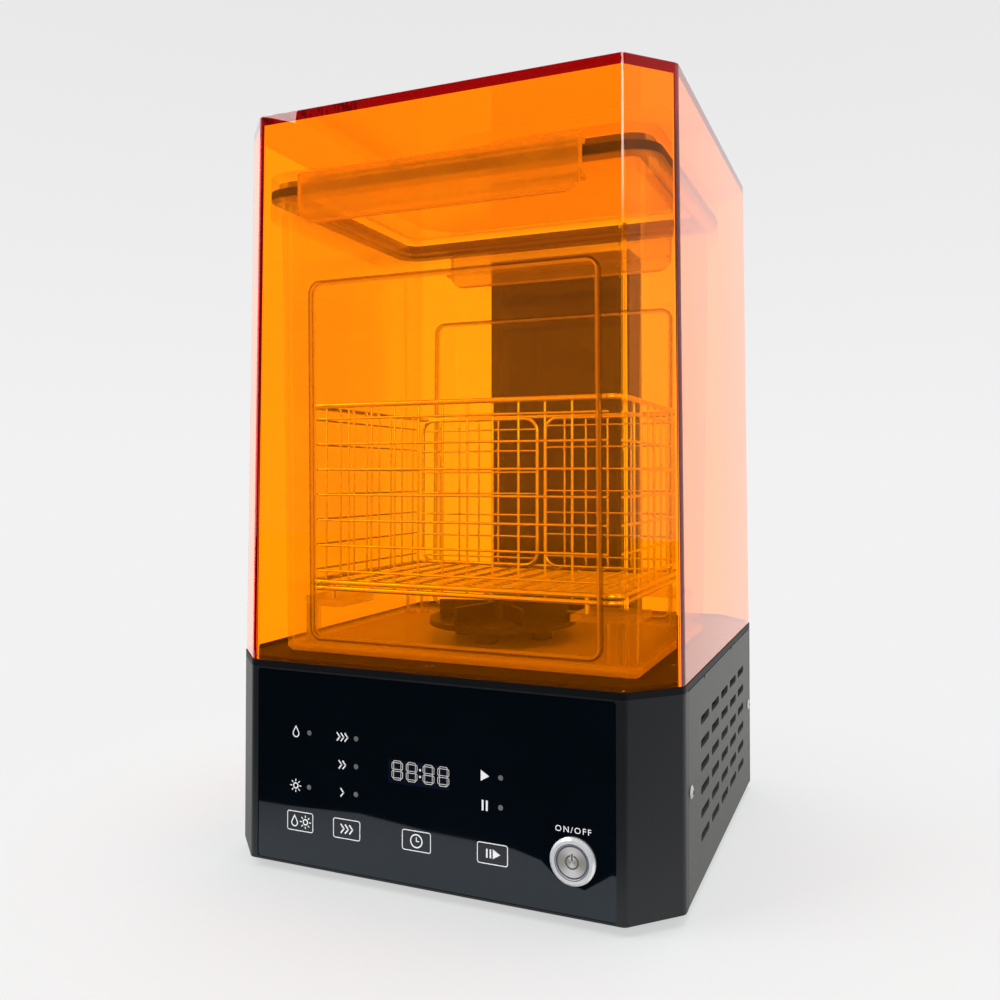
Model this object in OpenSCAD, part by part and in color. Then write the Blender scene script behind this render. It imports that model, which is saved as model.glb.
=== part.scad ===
// Wash and cure station for a dental lab: a black base with a touch panel, an octagonal orange
// hood, and under it a wash bucket with a sealed lid, a wire basket, a magnetic stirrer and a
// column of curing lamps. Millimetres, +Z up, the front faces -Y, origin at the bottom centre.

/* [Whole machine] */
// Width across the two side faces
body_w = 232; // [220:1:250]
// Depth from the front face to the rear face
body_d = 230; // [224:1:250]
// Height from the table to the top of the hood
total_h = 372; // [366:1:400]
// Length that each cut corner takes off a face
corner_cut = 21; // [16:1:24]
// Height of the deck's top above the table
deck_h = 101.3; // [98:0.1:110]
// Outer radius of the base's upright bends
bend_r = 4; // [3:0.5:6]
// Small gap left between parts that lift or turn
part_gap = 0.3; // [0.2:0.05:0.5]

/* [Hood] */
// Thickness of the hood's walls
hood_wall = 3; // [2.5:0.1:4]
// Thickness of the hood's top
hood_top_t = 4; // [3:0.1:5]
// How far each wall leans in from bottom to top
hood_draft = 2.3; // [1:0.1:3]
// Outer radius of the hood's bends at the bottom
hood_bend_r = 7; // [6.5:0.1:9]
// How far the hood stands inside the base's faces
hood_inset = 0.4; // [0:0.1:1]

/* [Base] */
// Thickness of the deck
deck_t = 3; // [2.5:0.1:4]
// Height of the rubber feet
foot_h = 4.5; // [3:0.1:8]
// Radius of the rubber feet
foot_r = 8; // [6:0.5:10]
// Thickness of the bottom tray
tray_t = 2; // [1.5:0.1:3]
// Thickness of the front and rear frames
frame_t = 4.5; // [4:0.1:6]
// How far a frame reaches round onto the side faces
frame_return = 5.5; // [4:0.5:8]
// Thickness of the side panels
side_t = 2.2; // [1.8:0.1:3]
// Gap left at the seams between the base's panels
seam = 0.3; // [0.1:0.05:0.5]
// Gap between the deck's underside and a side panel
side_top_gap = 0.5; // [0.3:0.1:2]

/* [Side vents] */
// Length of a vent slot
slot_len = 20; // [14:0.5:24]
// Height of a vent slot
slot_h = 4; // [3:0.1:5]
// Number of slots along a row
slot_cols = 5; // [3:1:5]
// Number of rows
slot_rows = 6; // [4:1:7]
// Distance from the end of a row of slots to the edge of the frame
slot_end_room = 25.1; // [22:0.1:30]
// Distance from row to row
slot_pitch_z = 10.75; // [9:0.05:12]
// Height of the lowest row
slot_low_z = 24.6; // [20:0.1:28]
// Shift of the slots towards the rear
slot_shift_y = 3; // [-2:0.5:6]

/* [Front panel] */
// Width of the frame's front face beside the glossy panel
panel_side = 3.8; // [3.5:0.1:6]
// Thickness of the glossy panel
panel_t = 2; // [1.5:0.1:2.5]
// How far the glossy panel lies behind the frame's face
panel_sink = 0.4; // [0:0.1:1]
// Border of the frame under and over the glossy panel
panel_border = 1; // [0.6:0.1:3]
// Width of the ledge behind the glossy panel
panel_ledge = 5; // [3:0.5:8]
// Radius of an indicator light
led_r = 1.2; // [0.8:0.1:2]
// Distance between two indicator lights, one above the other
led_pitch = 13; // [10:0.5:15]
// Height of the lowest indicator light
led_low_z = 42.4; // [38:0.1:48]
// Distance from the glossy panel's left end to the first column of indicator lights
mode_in = 29.6; // [26:0.1:34]
// Distance from the glossy panel's left end to the second column of indicator lights
speed_in = 55.8; // [50:0.1:58]
// Distance from the glossy panel's right end to the third column of indicator lights
run_in = 52.6; // [46:0.1:60]
// Width of the display window
display_w = 31.6; // [28:0.1:36]
// Height of the display window
display_h = 10.8; // [9:0.1:13]
// Place of the display's centre from left to right
display_x = -2.2; // [-8:0.1:8]
// Height of the display's centre
display_z = 55.7; // [50:0.1:62]
// Height of the row of touch keys
key_z = 25.5; // [20:0.1:30]

/* [Power button] */
// Distance from the glossy panel's right end to the button's centre
button_in = 19; // [15:0.1:24]
// Height of the button's centre
button_z = 28.4; // [24:0.1:36]
// Outer radius of the button's metal ring
ring_r = 10.2; // [9.6:0.1:11]
// Radius of the button's threaded body
button_body_r = 7.9; // [7.8:0.05:8.4]
// Radius of the moving cap
cap_r = 7.3; // [6.8:0.05:7.3]
// How far the cap travels
button_travel = 1.5; // [1:0.1:2]
// Running clearance between sliding or turning parts
running_gap = 0.06; // [0.02:0.01:0.1]

/* [Lamp column] */
// Width of the lamp column
column_w = 93; // [86:1:100]
// Depth of the lamp column
column_d = 30; // [26:1:32]
// Room between the lamp column's top and the underside of the hood's top
column_headroom = 34.7; // [30:0.1:60]
// Distance from the bucket's rear rim to the column
column_gap = 11.5; // [11:0.5:14]
// Distance from the lamp column to the rear face of the base
rear_room = 18; // [16:0.5:21]
// Wall of the lamp column
column_wall = 2; // [1.5:0.1:3]
// Number of lamp rows
lamp_rows = 8; // [4:1:10]

/* [Bucket] */
// Distance from a side face of the base to the bucket's rim
side_room = 12; // [11:0.5:14]
// Distance from the front face of the base to the bucket's rim
front_room = 16.5; // [15.5:0.5:19]
// Room between the bucket's top and the underside of the hood's top
bucket_headroom = 33; // [28:0.5:50]
// Thickness of the bucket's walls
bucket_wall = 2.2; // [1.8:0.1:3]
// Thickness of the bucket's floor
bucket_floor = 2.5; // [2:0.1:4]
// Outer corner radius at the bottom
bucket_r = 5; // [4.5:0.1:8]
// How far each wall leans out from bottom to rim
bucket_draft = 4; // [2:0.1:5]
// How far the rim stands out from the wall
rim_out = 5.5; // [4:0.1:7]
// Height of the rim's lip
rim_h = 9.5; // [7:0.1:12]
// Thickness of the rim
rim_t = 2; // [1.5:0.1:2.5]

/* [Lid] */
// Height of the lid above the gasket
lid_h = 8.5; // [7.5:0.1:10]
// Thickness of the lid
lid_t = 2; // [1.6:0.1:2.5]
// Height of the gasket's outer bead
gasket_h = 3.9; // [3:0.1:5]
// Width of the gasket ring
gasket_w = 10.5; // [8:0.5:11]
// Depth of the lid's plug below the gasket
plug_h = 5; // [3:0.5:8]
// Half of a lock flap's width
flap_half_w = 74; // [60:1:78]
// Height of a lock flap
flap_h = 25.7; // [24:0.1:27]
// Thickness of a lock flap
flap_t = 1.8; // [1.6:0.1:2.2]
// Distance from the rim to a flap's outer face
flap_out = 9; // [8:0.1:9.2]
// Radius of a flap's hinge pin
hinge_pin_r = 0.9; // [0.7:0.05:1]

/* [Wire basket] */
// Distance from the bucket's rim to the basket's left and right frame wires
basket_side_room = 19.5; // [18:0.5:23]
// Distance from the bucket's rim to the basket's front and rear frame wires
basket_front_room = 15.5; // [15:0.5:18]
// Height of the basket's lower frame wire above the bucket's underside
basket_low = 32.3; // [31.4:0.1:34]
// Height of the basket's rim wire above the bucket's underside
basket_high = 126.6; // [119:0.1:134]
// Radius of the thick wires
thick_r = 1.3; // [1:0.05:1.5]
// Radius of the thin wires
thin_r = 0.6; // [0.5:0.05:0.8]
// Spacing of the thin upright wires
mesh_pitch = 13.5; // [12.5:0.1:14]
// Corner radius of the basket
basket_r = 6; // [5:0.5:9]
// Number of thin wires lying round the basket
ring_count = 7; // [5:1:7]
// Spacing of the floor's thin wires
floor_pitch = 6.75; // [6:0.05:9]

/* [Stirrer] */
// Radius of the impeller
impeller_r = 40; // [34:1:44]
// Number of impeller blades
blade_count = 6; // [4:1:8]
// Radius of the pin that the impeller turns on
stir_pin_r = 2; // [1.5:0.1:3]
// Height of the corner shelves that carry the basket, above the bucket's underside
shelf_high = 26.7; // [25:0.1:27]
// Radius of the motor
motor_r = 16; // [14:0.5:18]

/* [Hidden] */
$fn = 48;

// Small overlap that fuses shapes of one solid
fuse = 0.05;
root2 = sqrt(2);
deck_under = deck_h - deck_t;
hood_h = total_h - deck_h - part_gap;
half_w = body_w / 2;
half_d = body_d / 2;
frame_edge_y = half_d - corner_cut - frame_return;
slot_pitch_y = (2 * frame_edge_y - 2 * slot_end_room - slot_len) / (slot_cols - 1);
panel_w = body_w - 2 * corner_cut - 2 * panel_side;
led_x_mode = mode_in - panel_w / 2;
led_x_speed = speed_in - panel_w / 2;
led_x_run = panel_w / 2 - run_in;
button_x = panel_w / 2 - button_in;
// The bucket and the lamp column fill the room that the base and the hood leave
bucket_bottom = deck_h + part_gap;
bucket_top = total_h - hood_top_t - bucket_headroom;
bucket_h = bucket_top - bucket_bottom;
rim_w = body_w - 2 * side_room;
rim_d = body_d - front_room - column_gap - column_d - rear_room;
bucket_y = front_room + rim_d / 2 - half_d;
basket_w = rim_w - 2 * basket_side_room;
basket_d = rim_d - 2 * basket_front_room;
basket_low_z = bucket_bottom + basket_low;
basket_rim_z = bucket_bottom + basket_high;
shelf_top_z = bucket_bottom + shelf_high;

// Distance from the middle to a face of the octagon whose outward normal has this angle
function face_reach(angle, inset) =
  (angle % 90 != 0 ? (half_w + half_d - corner_cut) / root2 : angle % 180 == 0 ? half_w : half_d)
  - inset;

// Point where two lines meet, each given by the angle of its normal and its distance
function meet(a, b, reach_a, reach_b) =
  [reach_a * sin(b) - reach_b * sin(a), reach_b * cos(a) - reach_a * cos(b)] / sin(b - a);

// Centres of the bends of an octagon that lies inside the body's faces by the inset
function octagon_centres(inset, r) = [for (i = [0:7])
  meet(45 * i, 45 * i + 45, face_reach(45 * i, inset) - r, face_reach(45 * i + 45, inset) - r)];

// Centres of the corner arcs of a rectangle in the bucket's middle
function bucket_centres(half_x, half_y) = [
  [half_x, bucket_y + half_y], [-half_x, bucket_y + half_y],
  [-half_x, bucket_y - half_y], [half_x, bucket_y - half_y]];

// Sweeps a profile round a plan: x is the distance out from the bends' centres, y is the height
module sweep_round(centres) {
  count = len(centres);
  turn = 360 / count;
  for (i = [0:count - 1]) {
    before = centres[(i + count - 1) % count];
    run = norm(centres[i] - before);
    translate(centres[i])
      rotate(turn * i)
        rotate_extrude(angle = turn)
          children();
    translate(before)
      rotate(turn * i)
        translate([0, run, 0])
          rotate([90, 0, 0])
            linear_extrude(height = run)
              children();
  }
}

// Flat plan with rounded corners
module round_plan(centres, r) {
  turn = 360 / len(centres);
  polygon([for (i = [0:len(centres) - 1])
    for (a = [turn * i, turn * (i + 1)])
      centres[i] + r * [cos(a), sin(a)]]);
  for (c = centres)
    translate(c)
      circle(r);
}

module box_between(low, high) {
  translate(low)
    cube(high - low);
}

// Cylinder along Y that starts at the front y and runs back
module rod_y(x, y, z, r, length) {
  translate([x, y, z])
    rotate([-90, 0, 0])
      cylinder(h = length, r = r);
}

module rod_x(x, y, z, r, length) {
  translate([x, y, z])
    rotate([0, 90, 0])
      cylinder(h = length, r = r);
}

module rod_z(x, y, z, r, length) {
  translate([x, y, z])
    cylinder(h = length, r = r);
}

// Upright plate with rounded corners, from its front face y backwards
module plate_y(x, y, z, w, h, thickness, r) {
  translate([x, y, z])
    rotate([90, 0, 0])
      translate([0, 0, -thickness])
        linear_extrude(height = thickness)
          rounded_rect(w, h, r);
}

module rounded_rect(w, h, r) {
  square([w - 2 * r, h], center = true);
  square([w, h - 2 * r], center = true);
  for (x = [-1, 1], y = [-1, 1])
    translate([x * (w / 2 - r), y * (h / 2 - r)])
      circle(r);
}

// Hood
hood_bottom = deck_h + part_gap;
// Height at which the hood's walls meet the underside of its top
hood_ceiling = hood_h - hood_top_t;
hood_lean = atan(hood_draft / hood_h);
// Flats that each bend of the hood is made of
bend_flats = 4;
// Distance from the middle to the hood's side or bend flat that faces this way, at the bottom
function hood_reach(angle, inset) =
  let (i = floor(angle / 45 + 0.001), c = octagon_centres(hood_inset, hood_bend_r)[i % 8])
    c[0] * cos(angle) + c[1] * sin(angle) + hood_bend_r - inset;

// Solid between leaning flats all round, from one height to another
module leaning_octagon(inset, low, high) {
  size = body_w + body_d;
  step = 45 / bend_flats;
  intersection() {
    box_between([-size, -size, low], [size, size, high]);
    intersection_for(i = [0:8 * bend_flats - 1])
      rotate(i * step)
        translate([hood_reach(i * step, inset), 0, 0])
          rotate([0, -hood_lean, 0])
            box_between([-size, -size, -size], [0, size, 2 * size]);
  }
}

module hood() {
  color("darkorange")
    translate([0, 0, hood_bottom])
      difference() {
        leaning_octagon(0, 0, hood_h);
        leaning_octagon(hood_wall, -1, hood_ceiling);
      }
}

// Deck with a low lip that locates the hood
lip_gap = 0.5;
lip_t = 1.6;
lip_h = 1.6;
lip_inset = hood_inset + hood_wall + lip_gap;
lip_r = hood_bend_r - hood_wall - lip_gap;
deck_screw_r = 2.6;
deck_screw_sink = 1.6;
deck_bore_r = 1.6;
deck_screw_len = 7;
front_screw_y = 20 - half_d;
side_screw_y = 49;
rear_screw_x = 70;
rear_screw_y = half_d - 12;
deck_screw_places = [
  [-6.5, front_screw_y], [half_w - 14.5, -side_screw_y], [14.5 - half_w, -side_screw_y],
  [half_w - 14.5, side_screw_y], [14.5 - half_w, side_screw_y], [rear_screw_x, rear_screw_y],
  [-rear_screw_x, rear_screw_y]];
cable_hole = [30, 10];

module deck() {
  color("black")
    difference() {
      union() {
        translate([0, 0, deck_under])
          linear_extrude(height = deck_t)
            round_plan(octagon_centres(0, bend_r), bend_r);
        translate([0, 0, deck_h - fuse])
          linear_extrude(height = lip_h + fuse)
            difference() {
              round_plan(octagon_centres(lip_inset, lip_r), lip_r);
              polygon(octagon_centres(lip_inset + lip_t, 0.01));
            }
      }
      for (p = deck_screw_places)
        translate([p[0], p[1], deck_h])
          countersunk(part_gap / 3, 1);
      translate([0, column_y + column_d / 2, deck_h])
        cube([cable_hole[0], cable_hole[1], 4 * deck_t], center = true);
    }
}

// Countersunk screw, head down from z = 0, grown by a clearance and raised for cutting
module countersunk(clearance, raise) {
  translate([0, 0, -deck_screw_sink - clearance])
    cylinder(h = deck_screw_sink + clearance,
      r1 = deck_bore_r + clearance, r2 = deck_screw_r + clearance);
  if (raise > 0)
    cylinder(h = raise, r = deck_screw_r + clearance);
  translate([0, 0, -deck_screw_len])
    cylinder(h = deck_screw_len - deck_screw_sink, r = deck_bore_r + clearance);
}

module deck_screws() {
  color("dimgray")
    for (p = deck_screw_places)
      translate([p[0], p[1], deck_h])
        difference() {
          countersunk(0, 0);
          translate([0, 0, -deck_screw_sink / 2])
            cylinder(h = deck_screw_sink, r = 1.1, $fn = 6);
        }
}

// Front and rear frames
frame_low = foot_h;
panel_low = frame_low + panel_border;
panel_high = deck_under - panel_border;
panel_mid_z = (panel_low + panel_high) / 2;
panel_h = panel_high - panel_low;
panel_front = -half_d + panel_sink;
panel_back = panel_front + panel_t;
// The tray's edge lies just behind the glossy panel
tray_inset = panel_sink + panel_t + part_gap;

// Wall of the base all round, between two heights
module base_wall(low, high, thickness) {
  outer_r = bend_r;
  translate([0, 0, low])
    linear_extrude(height = high - low)
      difference() {
        round_plan(octagon_centres(0, outer_r), outer_r);
        polygon(octagon_centres(thickness, 0.01));
      }
}

module front_frame() {
  color("black")
    difference() {
      intersection() {
        base_wall(frame_low, deck_under, frame_t);
        box_between([-body_w, -body_d, 0], [body_w, -frame_edge_y, deck_h]);
      }
      // Pocket for the glossy panel, and the opening behind it
      plate_y(0, -half_d - 1, panel_mid_z, panel_w + 2 * part_gap / 3,
        panel_h + 2 * part_gap / 3, panel_sink + panel_t + 1, 1.5);
      plate_y(0, -half_d - 1, panel_mid_z, panel_w - 2 * panel_ledge,
        panel_h - 2 * panel_ledge, frame_t + 3, 1.5);
      tray_rebate();
    }
}

// Rear vents, in front of the fan
fan_x = -48;
fan_z = 50;
fan_w = 60;
fan_t = 15;
vent_bar_pitch = 7;
rear_in = half_d - frame_t;
inlet_x = 62;
inlet_z = 28;
inlet_w = 14;
inlet_h = 11;

module rear_frame() {
  color("black")
    difference() {
      intersection() {
        base_wall(frame_low, deck_under, frame_t);
        box_between([-body_w, frame_edge_y, 0], [body_w, body_d, deck_h]);
      }
      for (i = [-3:3]) {
        z = fan_z + i * vent_bar_pitch;
        chord = sqrt(pow(fan_w / 2 - 3, 2) - pow(i * vent_bar_pitch, 2));
        plate_y(fan_x, rear_in - 1, z, 2 * chord, slot_h, frame_t + 2, slot_h / 2 - 0.01);
      }
      plate_y(inlet_x, rear_in - 1, inlet_z, inlet_w + part_gap, inlet_h + part_gap,
        frame_t + 2, 1.5);
      tray_rebate();
    }
}

// Step at the foot of the base's wall that takes the tray's edge
module tray_rebate() {
  translate([0, 0, frame_low - 1])
    linear_extrude(height = tray_t + 1 + part_gap / 3)
      polygon(octagon_centres(tray_inset - part_gap / 3, 0.01));
}

// Side panels with their vent slots
side_low = frame_low + seam;
side_high = deck_under - side_top_gap;
panel_screw_y = frame_edge_y - 5;
panel_screw_z = 53.3;
panel_screw_r = 3;
post_w = 9;
notch_ys = [-51.4, 24.7];
notch_w = 3.4;

module side_panel(side) {
  edge = frame_edge_y - seam;
  x = side * (half_w - side_t / 2);
  difference() {
    translate([x, 0, (side_low + side_high) / 2])
      cube([side_t, 2 * edge, side_high - side_low], center = true);
    for (c = [0:slot_cols - 1], r = [0:slot_rows - 1])
      translate([x, slot_shift_y + (c - (slot_cols - 1) / 2) * slot_pitch_y,
          slot_low_z + r * slot_pitch_z])
        rotate([90, 0, 90])
          translate([0, 0, -side_t])
            linear_extrude(height = 2 * side_t)
              rounded_rect(slot_len, slot_h, slot_h / 2 - 0.01);
    for (y = [-1, 1])
      rod_x(x - side_t, y * panel_screw_y, panel_screw_z, 1.7, 2 * side_t);
    // Small locating notches in the top edge
    for (y = notch_ys)
      translate([x, y, side_high])
        rotate([0, 90, 0])
          translate([0, 0, -side_t])
            cylinder(h = 2 * side_t, r = notch_w / 2, $fn = 4);
  }
}

module side_panel_left() {
  color("black")
    side_panel(-1);
}

module side_panel_right() {
  color("black")
    side_panel(1);
}

// Pan-head screws that hold the side panels, with a hexagon socket
module side_screws() {
  head_h = 1.4;
  color("silver")
    for (side = [-1, 1], end = [-1, 1])
      translate([side * half_w, end * panel_screw_y, panel_screw_z])
        rotate([0, side * 90, 0])
          difference() {
            union() {
              intersection() {
                cylinder(h = head_h, r = panel_screw_r);
                translate([0, 0, head_h - 5])
                  sphere(5, $fn = 64);
              }
              translate([0, 0, -8])
                cylinder(h = 8 + fuse, r = 1.4);
            }
            translate([0, 0, 0.5])
              cylinder(h = head_h, r = 1.3, $fn = 6);
          }
}

// Bottom tray with posts for the side panels and the control board
tray_slot_pitch = 16;
tray_slot_len = 40;
tray_slot_y = -30;
board_size = [110, 72];
board_mid = [20, half_d - 63];
board_t = 1.6;
standoff_h = 8;
board_hole_in = 5;
tray_top = frame_low + tray_t;
board_z = tray_top + standoff_h;

function board_corners() = [for (x = [-1, 1], y = [-1, 1])
  [board_mid[0] + x * (board_size[0] / 2 - board_hole_in),
   board_mid[1] + y * (board_size[1] / 2 - board_hole_in)]];

module bottom_tray() {
  post_x = half_w - side_t - post_w / 2 - part_gap / 3;
  color("black")
    difference() {
      union() {
        translate([0, 0, frame_low])
          linear_extrude(height = tray_t)
            polygon(octagon_centres(tray_inset, 0.01));
        for (x = [-1, 1], y = [-1, 1])
          translate([x * post_x, y * (panel_screw_y - 1), 0])
            box_between([-post_w / 2, -post_w / 2, tray_top - fuse],
              [post_w / 2, post_w / 2, panel_screw_z + post_w / 2]);
        for (p = board_corners())
          rod_z(p[0], p[1], tray_top - fuse, 3, standoff_h + fuse);
      }
      for (x = [-1, 1], y = [-1, 1])
        rod_x(x * post_x - post_w, y * panel_screw_y, panel_screw_z, 1.5, 2 * post_w);
      // Air slots under the board
      for (i = [-3:3])
        translate([i * tray_slot_pitch, tray_slot_y, frame_low - 1])
          linear_extrude(height = tray_t + 2)
            rounded_rect(slot_h, tray_slot_len, slot_h / 2 - 0.01);
    }
}

foot_x = half_w - 28;
foot_y = half_d - 29;

module feet() {
  color("dimgray")
    for (x = [-1, 1], y = [-1, 1])
      translate([x * foot_x, y * foot_y, 0]) {
        cylinder(h = 1, r1 = foot_r - 1, r2 = foot_r);
        translate([0, 0, 1])
          cylinder(h = foot_h - 1, r = foot_r);
      }
}

// Glossy front panel with holes for the lights, the display and the button
mode_leds = [[led_x_mode, 0], [led_x_mode, 2]];
speed_leds = [[led_x_speed, 0], [led_x_speed, 1], [led_x_speed, 2]];
run_leds = [[led_x_run, 0.3], [led_x_run, 1.3]];
led_places = [for (p = concat(mode_leds, speed_leds, run_leds))
  [p[0], led_low_z + p[1] * led_pitch]];

module front_panel() {
  color([0.03, 0.03, 0.04])
    difference() {
      plate_y(0, panel_front, panel_mid_z, panel_w, panel_h, panel_t, 1.4);
      for (p = led_places)
        rod_y(p[0], panel_front - 1, p[1], led_r + 0.05, panel_t + 2);
      plate_y(display_x, panel_front - 1, display_z, display_w, display_h, panel_t + 2, 0.8);
      rod_y(button_x, panel_front - 1, button_z, button_body_r + 0.1, panel_t + 2);
    }
}

// Display and its board, behind the panel
board_gap = 4.2;
front_board_y = panel_back + board_gap;

module display_lens() {
  color([0.1, 0.1, 0.12])
    plate_y(display_x, panel_front, display_z, display_w - 0.1, display_h - 0.1, panel_t, 0.75);
}

module display_module() {
  color("dimgray")
    difference() {
      plate_y(display_x, panel_back, display_z, display_w + 3, display_h + 5, board_gap, 0.6);
      plate_y(display_x, panel_back - 1, display_z, display_w - 2, display_h - 2, 1.3, 0.5);
    }
}

module display_board() {
  low = key_z - 9.5;
  high = led_low_z + 2 * led_pitch + 15.6;
  left = led_x_mode - 17.4;
  right = led_x_run + 12.4;
  color("darkgreen")
    plate_y((left + right) / 2, front_board_y, (low + high) / 2, right - left, high - low,
      board_t, 2);
}

module indicator_leds() {
  color("lightgray")
    for (p = led_places)
      rod_y(p[0], panel_front, p[1], led_r, panel_t + board_gap);
}

// Sprung contact pads behind the four touch keys
key_xs = [led_x_mode - 5, led_x_speed - 5, display_x - 1, led_x_run - 3.9];
pad_r = 4;

module touch_pads() {
  color("gold")
    for (x = key_xs)
      rod_y(x, panel_back, key_z, pad_r, board_gap);
}

// Power button: a threaded metal body, a moving cap with its symbol, a nut and a switch
ring_proud = 2;
ring_front = panel_front - ring_proud;
bezel_len = 16;
cap_t = 2.4;
cap_sink = 0.4;
cap_front = ring_front + cap_sink;
stem_r = 3.6;
stem_len = 12;
symbol_r = 3.1;
symbol_line = 0.7;
symbol_depth = 0.4;
nut_h = 3;
nut_r = 11;
switch_front = panel_front + bezel_len - fuse;

module button_bezel() {
  color("silver")
    difference() {
      union() {
        translate([button_x, ring_front, button_z])
          rotate([-90, 0, 0]) {
            cylinder(h = 1, r1 = ring_r - 1, r2 = ring_r);
            translate([0, 0, 1])
              cylinder(h = ring_proud - 1, r = ring_r);
          }
        rod_y(button_x, panel_front - fuse, button_z, button_body_r, bezel_len);
      }
      rod_y(button_x, ring_front - 1, button_z, cap_r + running_gap,
        1 + cap_sink + cap_t + button_travel + part_gap);
      rod_y(button_x, ring_front, button_z, stem_r + running_gap, bezel_len + 4);
    }
}

module button_nut() {
  color("silver")
    translate([button_x, panel_back, button_z])
      rotate([-90, 0, 0])
        difference() {
          cylinder(h = nut_h, r = nut_r, $fn = 6);
          translate([0, 0, -1])
            cylinder(h = nut_h + 2, r = button_body_r + press_gap);
        }
}

// Broken ring and bar of the power symbol, as a flat shape
module power_shape() {
  difference() {
    circle(symbol_r);
    circle(symbol_r - symbol_line);
    translate([-symbol_line, 0])
      square([2 * symbol_line, 2 * symbol_r]);
  }
  translate([-symbol_line / 2, symbol_r * 0.15])
    square([symbol_line, symbol_r]);
}

module symbol_solid(front, depth) {
  translate([button_x, front, button_z])
    rotate([90, 0, 0])
      translate([0, 0, -depth])
        linear_extrude(height = depth)
          power_shape();
}

module button_cap() {
  color("gainsboro")
    difference() {
      union() {
        rod_y(button_x, cap_front, button_z, cap_r, cap_t);
        rod_y(button_x, cap_front + cap_t - fuse, button_z, stem_r, stem_len);
      }
      symbol_solid(cap_front - 1, symbol_depth + 1);
    }
}

module power_symbol() {
  color("lightgray")
    symbol_solid(cap_front, symbol_depth);
}

module button_switch() {
  color("dimgray") {
    rod_y(button_x, switch_front, button_z, 7, 8);
    for (x = [-1, 1], z = [-1, 1])
      rod_y(button_x + x * 3, switch_front + 8 - fuse, button_z + z * 3, 0.6, 5);
  }
}

// Control board on the tray, with its parts
module control_board() {
  color("darkgreen")
    difference() {
      translate([board_mid[0], board_mid[1], board_z])
        linear_extrude(height = board_t)
          rounded_rect(board_size[0], board_size[1], 2);
      for (p = board_corners())
        rod_z(p[0], p[1], board_z - 1, 1.6, board_t + 2);
    }
}

// Box on the control board: its near left corner from the board's middle, and its size
module board_box(corner, size) {
  translate([board_mid[0] + corner[0], board_mid[1] + corner[1], board_z + board_t])
    cube(size);
}

connector_pitch = 14;
connector_size = [10, 8, 8];
chip_size = [16, 16, 1.6];
relay_size = [20, 16, 10];
coil_size = [16, 14, 5];
capacitor_r = 4;
capacitor_h = 12;
capacitor_pitch = 11;

module board_parts() {
  color("dimgray") {
    board_box([-8, -8], chip_size);
    for (i = [0:3])
      board_box([i * connector_pitch - 46, 24], connector_size);
    for (i = [0:2])
      rod_z(board_mid[0] + 22 + i * capacitor_pitch, board_mid[1] - 20, board_z + board_t,
        capacitor_r, capacitor_h);
    board_box([20, 0], relay_size);
    board_box([-42, -26], coil_size);
  }
}

// Low-voltage socket whose flange stands as proud of the rear as the button of the front
module power_inlet() {
  depth = 16;
  back = half_d - depth;
  bore_start = back + 4;
  flange_t = -half_d - ring_front;
  color("black")
    difference() {
      union() {
        plate_y(inlet_x, back, inlet_z, inlet_w, inlet_h, depth + fuse, 1.4);
        plate_y(inlet_x, half_d, inlet_z, inlet_w + 4, inlet_h + 4, flange_t, 2);
      }
      rod_y(inlet_x, bore_start, inlet_z, 2.9, 2 * depth);
    }
  color("silver")
    rod_y(inlet_x, bore_start - fuse, inlet_z, 1, depth - 5);
}

// Cooling fan at the rear
fan_bore_r = 27.5;
fan_hub_r = 12;
fan_pin_r = 1.5;
fan_y = rear_in - part_gap - fan_t;

module fan_frame() {
  color("black") {
    difference() {
      plate_y(fan_x, fan_y, fan_z, fan_w, fan_w, fan_t, 4);
      rod_y(fan_x, fan_y - 1, fan_z, fan_bore_r, fan_t + 2);
      for (x = [-1, 1], z = [-1, 1])
        rod_y(fan_x + x * 25, fan_y - 1, fan_z + z * 25, 2, fan_t + 2);
    }
    // Motor plate on three arms, with the pin that the rotor turns on
    rod_y(fan_x, fan_y + fan_t - 3, fan_z, fan_hub_r, 2.6);
    rod_y(fan_x, fan_y + 2, fan_z, fan_pin_r, fan_t - 3);
    for (a = [0:120:240])
      translate([fan_x, fan_y + fan_t - 3, fan_z])
        rotate([0, a, 0])
          box_between([fan_hub_r - 1, 0.4, -1.5], [fan_bore_r + 1, 2.4, 1.5]);
  }
}

module fan_rotor() {
  hub_len = fan_t - 4.5;
  color("dimgray")
    translate([fan_x, fan_y + 0.5, fan_z])
      rotate([-90, 0, 0])
        difference() {
          union() {
            cylinder(h = hub_len, r = fan_hub_r);
            intersection() {
              cylinder(h = hub_len, r = fan_bore_r - 0.8);
              for (a = [0:360 / 7:359])
                rotate(a)
                  translate([fan_hub_r - 1, 0, hub_len / 2])
                    rotate([38, 0, 0])
                      translate([0, -0.7, -hub_len])
                        cube([fan_bore_r, 1.4, 2 * hub_len]);
            }
          }
          translate([0, 0, 1])
            cylinder(h = hub_len, r = fan_pin_r + running_gap);
        }
}

// Stirrer drive under the deck
press_gap = 0.02;
carrier_r = 30;
carrier_t = 5;
carrier_top = deck_under - 2.5;
magnet_r = 5;
magnet_h = 4;
magnet_ring_r = 22;
motor_h = 38;
motor_top = deck_under - 16;
bracket_t = 2;
bracket_half = 26;
shaft_r = 2;
motor_collar_r = 6;
bracket_post_r = 3.2;
bracket_edge = 6;
shaft_in_motor = 10;

module at_bucket_middle() {
  translate([0, bucket_y, 0])
    children();
}

module motor() {
  color("silver")
    at_bucket_middle()
      difference() {
        union() {
          rod_z(0, 0, motor_top - motor_h, motor_r, motor_h);
          rod_z(0, 0, motor_top - fuse, motor_collar_r, bracket_t);
        }
        rod_z(0, 0, motor_top - shaft_in_motor - 2, shaft_r + running_gap,
          shaft_in_motor + bracket_t + 4);
      }
}

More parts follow.
